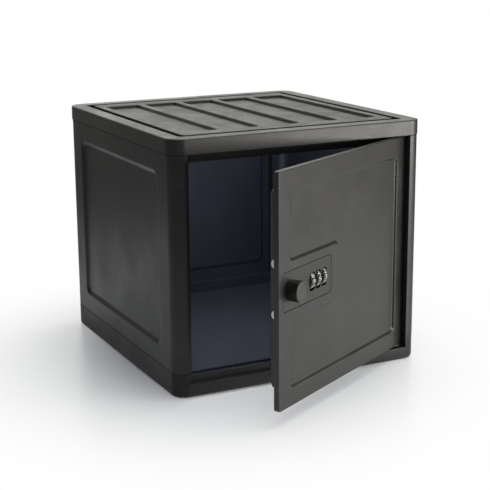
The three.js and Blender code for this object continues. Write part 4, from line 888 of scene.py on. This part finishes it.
def makeDoorPanel():
    d = doorPanel
    left, right, low, high = d["field"]

    def stopsAcross(start, end, fieldStart, fieldEnd, land):
        # Fine lines at the rim and on the field's slope at both ends, and the land's between them.
        rim, slope = d["rimRuns"], d["slopeRuns"]
        near = runsFrom(start, 1, rim) + runsFrom(fieldStart, 1, slope)
        return stopsOf(start, end, d["grid"], *near, *land, *runsFrom(fieldEnd, -1, slope),
                       *runsFrom(end, -1, rim))

    stopsA = stopsAcross(d["left"], d["right"], left, right, runsFrom(d["landRight"], 1, d["landRunsX"]))
    landZ = [run for z in d["landZ"] for run in runsFrom(z, 1, d["landRunsZ"])]
    stopsB = stopsAcross(d["low"], d["high"], low, high, landZ)
    slab = reliefSlab(stopsA, stopsB, doorRelief,
                      lambda a, b, rim: d["thick"] - edgeDrop(rim, d["backEdge"]), d["round"])
    piece = meshObject("doorPanel", *slab, onDoor)
    plateX, wheelsX, z = alongDoor(lock["plate"]), alongDoor(lock["wheels"]), lock["z"]
    back, front = d["through"]
    pocket = stackRows(roundLoop(*d["pocket"], 8, (plateX, z)), d["pocketRows"])
    window = stackRows(roundLoop(*d["window"], 5, (wheelsX, z)), [(0, back), (0, front)])
    bores = [postShape(alongDoor(lock["knob"]), z, lock["shaftBore"], back, front, 28)]
    for up in (lock["posts"], -lock["posts"]):
        bores.append(postShape(wheelsX, z + up, d["postBore"], back, front, 28))
    for cut in (loopFaces(pocket), loopFaces(window), joined(*bores)):
        carve(piece, meshObject("doorCut", *cut, outOfDoor))
    settle(piece, finish["door"], "door_outer_panel", "shell_plastic", seams=[d["seam"]])
    print("door panel made")


# Lock plate with its three dial windows.

plate = {
    "halfX": 45.5, "halfZ": 19.6, "round": 4.0, "thick": 2.0, "edge": 0.35, "post": (3.0, -5.7, -1.5),
    "slot": (4.8, 9.2, 1.0), "slotDrop": 0.6, "through": (-3, 1),
    "slotRows": ((0, -3), (0, -0.4), (-0.12, -0.12), (-0.42, 0.02), (-0.42, 1)),
}


def makeLockPlate():
    p, z, wheelsX = plate, lock["z"], alongDoor(lock["wheels"])
    loop = roundLoop(p["halfX"], p["halfZ"], p["round"], 8, (alongDoor(lock["plate"]), z))
    rows = np.concatenate([[(0, -p["thick"])], topArc(p["edge"], 0, 3)])
    parts = [loopFaces(stackRows(loop, rows))]
    parts += [postShape(wheelsX, z + up, *p["post"]) for up in (lock["posts"], -lock["posts"])]
    cuts = []
    for index in (-1, 0, 1):
        at = (alongDoor(lock["wheels"] + index * lock["pitch"]), z - p["slotDrop"])
        cuts.append(loopFaces(stackRows(roundLoop(*p["slot"], 5, at), p["slotRows"])))
    cuts.append(postShape(alongDoor(lock["knob"]), z, lock["shaftBore"], *p["through"], 28))
    makePiece("lockPlate", joined(*parts), "plate", "lock_plate", "shell_plastic", outOfDoor,
              [joined(*cuts)], smooth=18)
    print("lock plate made")


# Knob.

knob = {
    "foot": 10.5, "radius": 10.75, "height": 12.8, "gap": 0.3, "edge": 0.7, "footEdge": 0.4, "lipEdge": 0.35,
    "skirt": (0.25, 5.0), "taper": ((0.1, 2.4), (0, 1.4)), "dish": 9.2, "dishDrop": 0.6, "dishFoot": 0.3,
    "dishWall": 0.65, "dome": ((4.0, 0.06), (0.4, 0.1)), "paleDepth": 1.2,
}


def makeKnob():
    k, r, foot, edge = knob, knob["radius"], knob["footEdge"], knob["edge"]
    top = k["gap"] + k["height"]
    floor = top - k["dishDrop"]
    profile = np.concatenate([
        arcPairs(foot, 270, 360, (k["foot"] - foot, k["gap"] + foot), 3),
        [(k["foot"] + k["skirt"][0], k["gap"] + k["skirt"][1])],
        [(r - inset, top - drop) for inset, drop in k["taper"]],
        arcPairs(edge, 0, 90, (r - edge, top - edge), 6),
        arcPairs(k["lipEdge"], 90, 180, (k["dish"], top - k["lipEdge"]), 3),
        arcPairs(k["dishFoot"], 360, 270, (k["dish"] - k["dishWall"], floor + k["dishFoot"]), 3),
        [(radius, floor - drop) for radius, drop in k["dome"]],
    ])
    points, faces = loopFaces(latheRows(profile, 72))
    points = frontFacing(points) + (alongDoor(lock["knob"]), 0, lock["z"])
    piece = makePiece("knobBody", (points, faces), "knob", "knob", "shell_plastic", onDoor)
    # Faces within this depth of the front take the paler copy: painted light on the knob's face.
    piece.data.materials.append(finish["knobFace"])
    front = [int(min(points[v][1] for v in face) < k["paleDepth"] - top) for face in faces]
    piece.data.polygons.foreach_set("material_index", front)
    print("knob made")


# Number wheels and their digits.

wheel = {"radius": 9.5, "width": 8.4, "bore": 2.3, "edge": 0.7, "notch": 0.75, "notchWidth": 0.085,
         "step": math.pi / 5, "digit": 4.7, "digitWide": 1.5, "shown": (9, 5, 3), "paint": 0.06}


def wheelShape(sides=200):
    # Rings across the wheel; radius = R - edge drop - notch depth * exp(-(angle from the notch / width)^2).
    step, half, edge = wheel["step"], wheel["width"] / 2, wheel["edge"]
    t = roundTurn(sides)
    fromNotch = (np.abs((t / step + 0.5) % 1.0 - 0.5) - 0.5) * step
    notch = wheel["notch"] * np.exp(-(fromNotch / wheel["notchWidth"]) ** 2)
    across = np.concatenate([np.linspace(-half, -half + edge, 5), [0], np.linspace(half - edge, half, 5)])
    radius = wheel["radius"] - edgeDrop(half - np.abs(across), edge)[:, None] - notch[None]
    hub = np.full((1, sides), wheel["bore"])
    radius = np.concatenate([hub, radius, hub])
    across = np.concatenate([[-half], across, [half]])[:, None] + 0 * t
    return np.stack([radius * np.cos(t), radius * np.sin(t), across], axis=-1)


def digitArrays(digit):
    # One digit's outline as a thin solid, centred, with a height of one.
    curve = bpy.data.curves.new("digit", "FONT")
    curve.body = str(digit)
    curve.extrude = 0.5
    curve.resolution_u = 3
    piece = addObject("digit", curve)
    mesh = meshOf(piece)
    work = bmesh.new()
    work.from_mesh(mesh)
    bmesh.ops.remove_doubles(work, verts=work.verts, dist=0.0001)
    bmesh.ops.recalc_face_normals(work, faces=work.faces)
    points, faces = takeArrays(work)
    bpy.data.objects.remove(piece)
    bpy.data.meshes.remove(mesh)
    low, high = points.min(0), points.max(0)
    return (points - (low + high) / 2) / (high[1] - low[1]), faces


def wrapDigit(points, turn, across):
    # Digit (x across, y up) onto the wheel: angle = turn + y / R, distance from the axis = R + paint.
    angle = turn + points[:, 1] * wheel["digit"] / wheel["radius"]
    reach = wheel["radius"] + np.sign(points[:, 2]) * wheel["paint"]
    return np.stack([across + points[:, 0] * wheel["digit"] * wheel["digitWide"],
                     lock["wheelDepth"] - reach * np.cos(angle), lock["z"] + reach * np.sin(angle)], axis=1)


def makeWheels():
    # The axis lies along the door; a digit faces straight out of its window.
    digits = [digitArrays(digit) for digit in range(10)]
    rows, faces = loopFaces(wheelShape(), ring=True)
    for index, shown in enumerate(wheel["shown"]):
        node = f"number_wheel_{index + 1}"
        across = alongDoor(lock["wheels"] + (1 - index) * lock["pitch"])
        points = rows[:, [2, 0, 1]] * (-1, -1, 1) + (across, lock["wheelDepth"], lock["z"])
        makePiece(f"wheelBody{index + 1}", (points, faces), "wheel", node, "wheel_plastic", onDoor)
        marks = [(wrapDigit(flat, -wheel["step"] * (digit - shown), across), outline)
                 for digit, (flat, outline) in enumerate(digits)]
        paint = smoothed(meshObject(f"wheelMarks{index + 1}", *joined(*marks), onDoor), 34)
        paint.data.materials.append(finish["white"])
        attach(paint, bodyOf[node])
    print("number wheels made")


# Bolts.

bolt = {"radius": 5.0, "length": 36.0, "edge": 0.8, "depth": 13.1, "tip": 247.0, "heights": (162.5, 111.1)}


def makeBolts():
    radius, length, edge = bolt["radius"], bolt["length"], bolt["edge"]
    profile = np.concatenate([arcPairs(edge, 270, 360, (radius - edge, edge), 3),
                              arcPairs(edge, 0, 90, (radius - edge, length - edge), 5)])
    bar, faces = loopFaces(latheRows(profile, 56))
    for name, z in zip(("upper_bolt", "lower_bolt"), bolt["heights"]):
        points = latchFacing(bar) + (alongDoor(bolt["tip"] - length), bolt["depth"], z)
        makePiece(name + "Bar", (points, faces), "bolt", name, "steel", onDoor)
    print("bolts made")


# Screws that show: a domed head with a cross recess, on its shank.

screws = {
    "bar": (0.16, 0.05, 0.02), "barEnd": (0.55, 0.15, 0.05), "recess": 0.6, "tip": 0.2, "domeSpan": 0.97,
    "domePower": 0.7, "rings": (1, 0.02, 15), "sides": 40,
    # Each kind: length, shank radius, head radius, head height.
    "base": (40, 2, 4, 2.6), "strike": (11, 1.3, 2.7, 1.0), "cover": (15.1, 1.3, 2.7, 1.7),
    "baseAt": ((-138.45, -142.1), (143.185, -137.925), (-141.4, 148.9), (141.4, 148.9)), "baseTop": 44.0,
    "strikeAt": (-138.4, -142.8), "strikeZ": (152.22, 121.38),
    "coverAt": (23.5, 127.0, 228.3), "coverZ": (43.8, 225.7), "coverDepth": 3.4,
}


def screwShape(length, shank, head, high):
    # Height over the head = dome - recess depth inside a cross; the cross is two bars, faded at their ends.
    (half, fade, soft), (reach, endFade, endSoft), sides = screws["bar"], screws["barEnd"], screws["sides"]
    rings = np.linspace(*screws["rings"])[:, None]
    t = roundTurn(sides)
    x, y = rings * head * np.cos(t), rings * head * np.sin(t)
    span, power = screws["domeSpan"], screws["domePower"]
    dome = high * np.sqrt(np.clip(1 - (rings * span) ** 2, 0, 1)) ** power + 0 * t

    def bar(u, v):
        return (softRamp(half * head - np.abs(u), fade * head, soft)
                * softRamp(reach * head - np.abs(v), endFade * head, endSoft))

    recess = screws["recess"] * high * np.clip(np.maximum(bar(x, y), bar(y, x)), 0, 1)
    top = np.stack([x, y, length + dome - recess], axis=-1)
    below = latheRows([(shank * screws["tip"], 0), (shank, shank), (shank, length), (head, length)], sides)
    return loopFaces(np.concatenate([below, top]))


def makeScrew(name, shape, place):
    makePiece(name + "_dressed", shape, "screw", name, "steel", place)


def makeScrews():
    base, strike, cover = (screwShape(*screws[kind]) for kind in ("base", "strike", "cover"))
    for index, (x, y) in enumerate(screws["baseAt"]):
        makeScrew(f"base_screw_{index + 1}", base, lambda p: p * (1, -1, -1) + (x, y, screws["baseTop"]))
    for index, z in enumerate(screws["strikeZ"]):
        makeScrew(f"strike_screw_{index + 1}", strike, lambda p: p[:, [2, 0, 1]] + (*screws["strikeAt"], z))
    for index, (z, s) in enumerate((z, s) for z in screws["coverZ"] for s in screws["coverAt"]):
        makeScrew(f"door_screw_{index + 1}", cover,
                  lambda p: onDoor(p[:, [1, 2, 0]] + (alongDoor(s), screws["coverDepth"], z)))
    print("screws made")


makeSideWalls()
makeRearWall()
makeTopCap()
makeTopPanel()
makeFloorMat()
makeDoorPanel()
makeLockPlate()
makeKnob()
makeWheels()
makeBolts()
makeScrews()

# The rest keep their solids' shape: finish, slot and softened edge of each.
kept = {
    "base_tray": ("base", "shell_plastic", 0.5), "door_inner_cover": ("inner", "inner_plastic", 0),
    "lock_case": ("inner", "inner_plastic", 0), "strike_plate": ("plated", "steel", 0.25),
    "dial_spindle": ("plated", "steel", 0.3), "knob_shaft": ("plated", "steel", 0.25),
    "lock_pinion": ("plated", "steel", 0.1), "bolt_carriage": ("plated", "steel", 0),
    "detent_spring": ("spring", "spring_steel", 0.08), "pinion_clip": ("spring", "spring_steel", 0.08),
    "upper_bolt_pin": ("spring", "spring_steel", 0.2), "lower_bolt_pin": ("spring", "spring_steel", 0.2),
    "lower_hinge_pin": ("plated", "steel", 0.4), "upper_hinge_pin": ("plated", "steel", 0.4),
    "lower_hinge_washer": ("nylon", "nylon", 0.2), "upper_hinge_washer": ("nylon", "nylon", 0.2),
}
kept.update({f"cap_screw_{number}": ("screw", "steel", 0.2) for number in (1, 2, 3, 4)})
kept.update({f"lock_screw_{number}": ("screw", "steel", 0.15) for number in (1, 2)})
for node, (kind, slot, edge) in kept.items():
    piece = dressCopy(node, finish[kind], slot, edge, ribbed=node == "base_tray")
    if node == "base_tray":
        lineInside(piece, finish["inner"])
print("other pieces dressed:", len(kept))


# Studio: floor, world, lamps and the camera.

studio = {
    "floor": (0.9, 0.9, 0.9), "floorRoughness": 0.3, "floorSize": 3.0,
    "fadeCentre": (-0.03, -0.03, 0.0), "fadeSeen": (0.08, 0.42), "fadeMirrored": (0.35, 1.05),
    "fill": (0.36, 0.38, 0.41), "warm": (1.0, 0.99, 0.94), "dark": 0.12,
    "lobes": (((0.2, 0.93, 0.3), 0.8, 0.98, 1.3), ((0.85, -0.5, -0.15), 0.8, 0.97, 0.7)),
    "camera": (-0.6242, -1.2756, 0.4660), "azimuth": 26.412, "elevation": 13.857, "roll": -0.4417,
    "lens": 90.94, "sensor": 36.0,
}
lamps = {
    "softboxRight": ((1.08, -1.28, 0.19), (0.0, -0.1, 0.14), (1.24, 0.36), 22, (1.0, 0.98, 0.93)),
    "softboxTop": ((0.35, -0.05, 1.4), (0.0, 0.0, 0.0), (1.1, 1.1), 14, (1.0, 1.0, 0.98)),
    "lampFront": ((-0.75, -1.25, 1.15), (-0.05, 0.0, 0.1), (0.5, 0.5), 1.5, (1.0, 1.0, 1.0)),
    "lampInside": ((-0.06, -0.105, 0.24), (-0.05, 0.1, 0.08), (0.16, 0.02), 0.5, (0.9, 0.95, 1.0)),
}


def makeToneGroup():
    # What mirrored rays see of the room in a direction: dim, with brighter parts at the back and the right.
    group, given, out = newGroup("roomTone", {"Direction": (0, 0, 0)}, {"Tone": "Float"})
    unit = addNode(group, "VectorMath", {0: given[0]}, operation="NORMALIZE")
    total = studio["dark"]
    for middle, low, high, most in studio["lobes"]:
        side = addNode(group, "VectorMath", {0: unit, 1: middle}, out="Value", operation="DOT_PRODUCT")
        total = addMath(group, "ADD", total, addRamp(group, side, low, high, 0.0, most, "SMOOTHSTEP"))
    group.links.new(total, out[0])
    return group


def seenTone(tree, direction):
    # White for straight rays, the room's warm tone for mirrored and transmitted ones; a mask of the three.
    rays = tree.nodes.new("ShaderNodeLightPath").outputs
    room = addNode(tree, "Group", {0: direction}, node_tree=toneGroup)
    warm = addNode(tree, "VectorMath", {0: studio["warm"], "Scale": room}, operation="SCALE")
    shown = rays["Is Camera Ray"]
    for label in ("Is Glossy Ray", "Is Transmission Ray"):
        shown = addMath(tree, "MAXIMUM", shown, rays[label])
    return mixColors(tree, rays["Is Camera Ray"], warm, (1, 1, 1, 1)), shown


def makeFloor():
    # Near the box a pale floor that takes its shadow; with distance it becomes the white of the background.
    mesh = bpy.data.meshes.new("floor")
    size = studio["floorSize"]
    corners = [(-size, -size, 0), (size, -size, 0), (size, size, 0), (-size, size, 0)]
    mesh.from_pydata(corners, [], [(0, 1, 2, 3)])
    addObject("floor", mesh)
    material, tree, shader = newMaterial("studioFloor")
    feed(tree, shader, {"Base Color": studio["floor"] + (1,), "Roughness": studio["floorRoughness"]})
    place = addNode(tree, "TexCoord", {}, out="Object")
    away = addNode(tree, "VectorMath", {0: place, 1: studio["fadeCentre"]}, out="Value",
                   operation="DISTANCE")
    mirrored, seen = (addRamp(tree, away, *studio[span], shape="SMOOTHSTEP")
                      for span in ("fadeMirrored", "fadeSeen"))
    straight = addNode(tree, "LightPath", {}, out="Is Camera Ray")
    fade = addNode(tree, "Mix", {"Factor": straight, "A": mirrored, "B": seen}, out="Result")
    tone, shown = seenTone(tree, place)
    glow = addNode(tree, "Emission", {"Color": tone})
    share = addMath(tree, "MULTIPLY", fade, shown)
    mixed = addNode(tree, "MixShader", {0: share, 1: shader.outputs[0], 2: glow})
    tree.links.new(mixed, next(n for n in tree.nodes if n.type == "OUTPUT_MATERIAL").inputs[0])
    mesh.materials.append(material)


def makeWorld():
    # A cool fill for the shading; the rays that show the background see white or the room's tone.
    world = bpy.data.worlds.new("studio")
    bpy.context.scene.world = world
    world.use_nodes = True
    tree = world.node_tree
    tree.nodes.clear()
    tone, shown = seenTone(tree, addNode(tree, "TexCoord", {}, out="Generated"))
    sky = addNode(tree, "Background", {"Color": mixColors(tree, shown, studio["fill"] + (1,), tone)})
    tree.links.new(sky, tree.nodes.new("ShaderNodeOutputWorld").inputs[0])


def makeLamp(name, place, aim, size, power, color):
    lamp = bpy.data.lights.new(name, "AREA")
    lamp.shape = "RECTANGLE"
    lamp.size, lamp.size_y = size
    lamp.energy = power
    lamp.color = color
    piece = addObject(name, lamp)
    piece.location = place
    piece.rotation_euler = (Vector(aim) - Vector(place)).to_track_quat("-Z", "Y").to_euler()
    piece.visible_camera = False


def makeCamera():
    azimuth, elevation, roll = (math.radians(studio[k]) for k in ("azimuth", "elevation", "roll"))
    ahead = Vector((math.sin(azimuth) * math.cos(elevation), math.cos(azimuth) * math.cos(elevation),
                    -math.sin(elevation)))
    right = Vector((math.cos(azimuth), -math.sin(azimuth), 0))
    up = right.cross(ahead)
    turnedRight = right * math.cos(roll) + up * math.sin(roll)
    turnedUp = up * math.cos(roll) - right * math.sin(roll)
    lens = bpy.data.cameras.new("camera")
    lens.sensor_width = studio["sensor"]
    lens.lens = studio["lens"]
    camera = addObject("camera", lens)
    turn = Matrix((turnedRight, turnedUp, -ahead)).transposed().to_4x4()
    camera.matrix_world = Matrix.Translation(studio["camera"]) @ turn
    bpy.context.scene.camera = camera


toneGroup = makeToneGroup()
makeFloor()
makeWorld()
for name, values in lamps.items():
    makeLamp(name, *values)
makeCamera()
bpy.context.scene.view_settings.view_transform = "Standard"
print("studio ready")
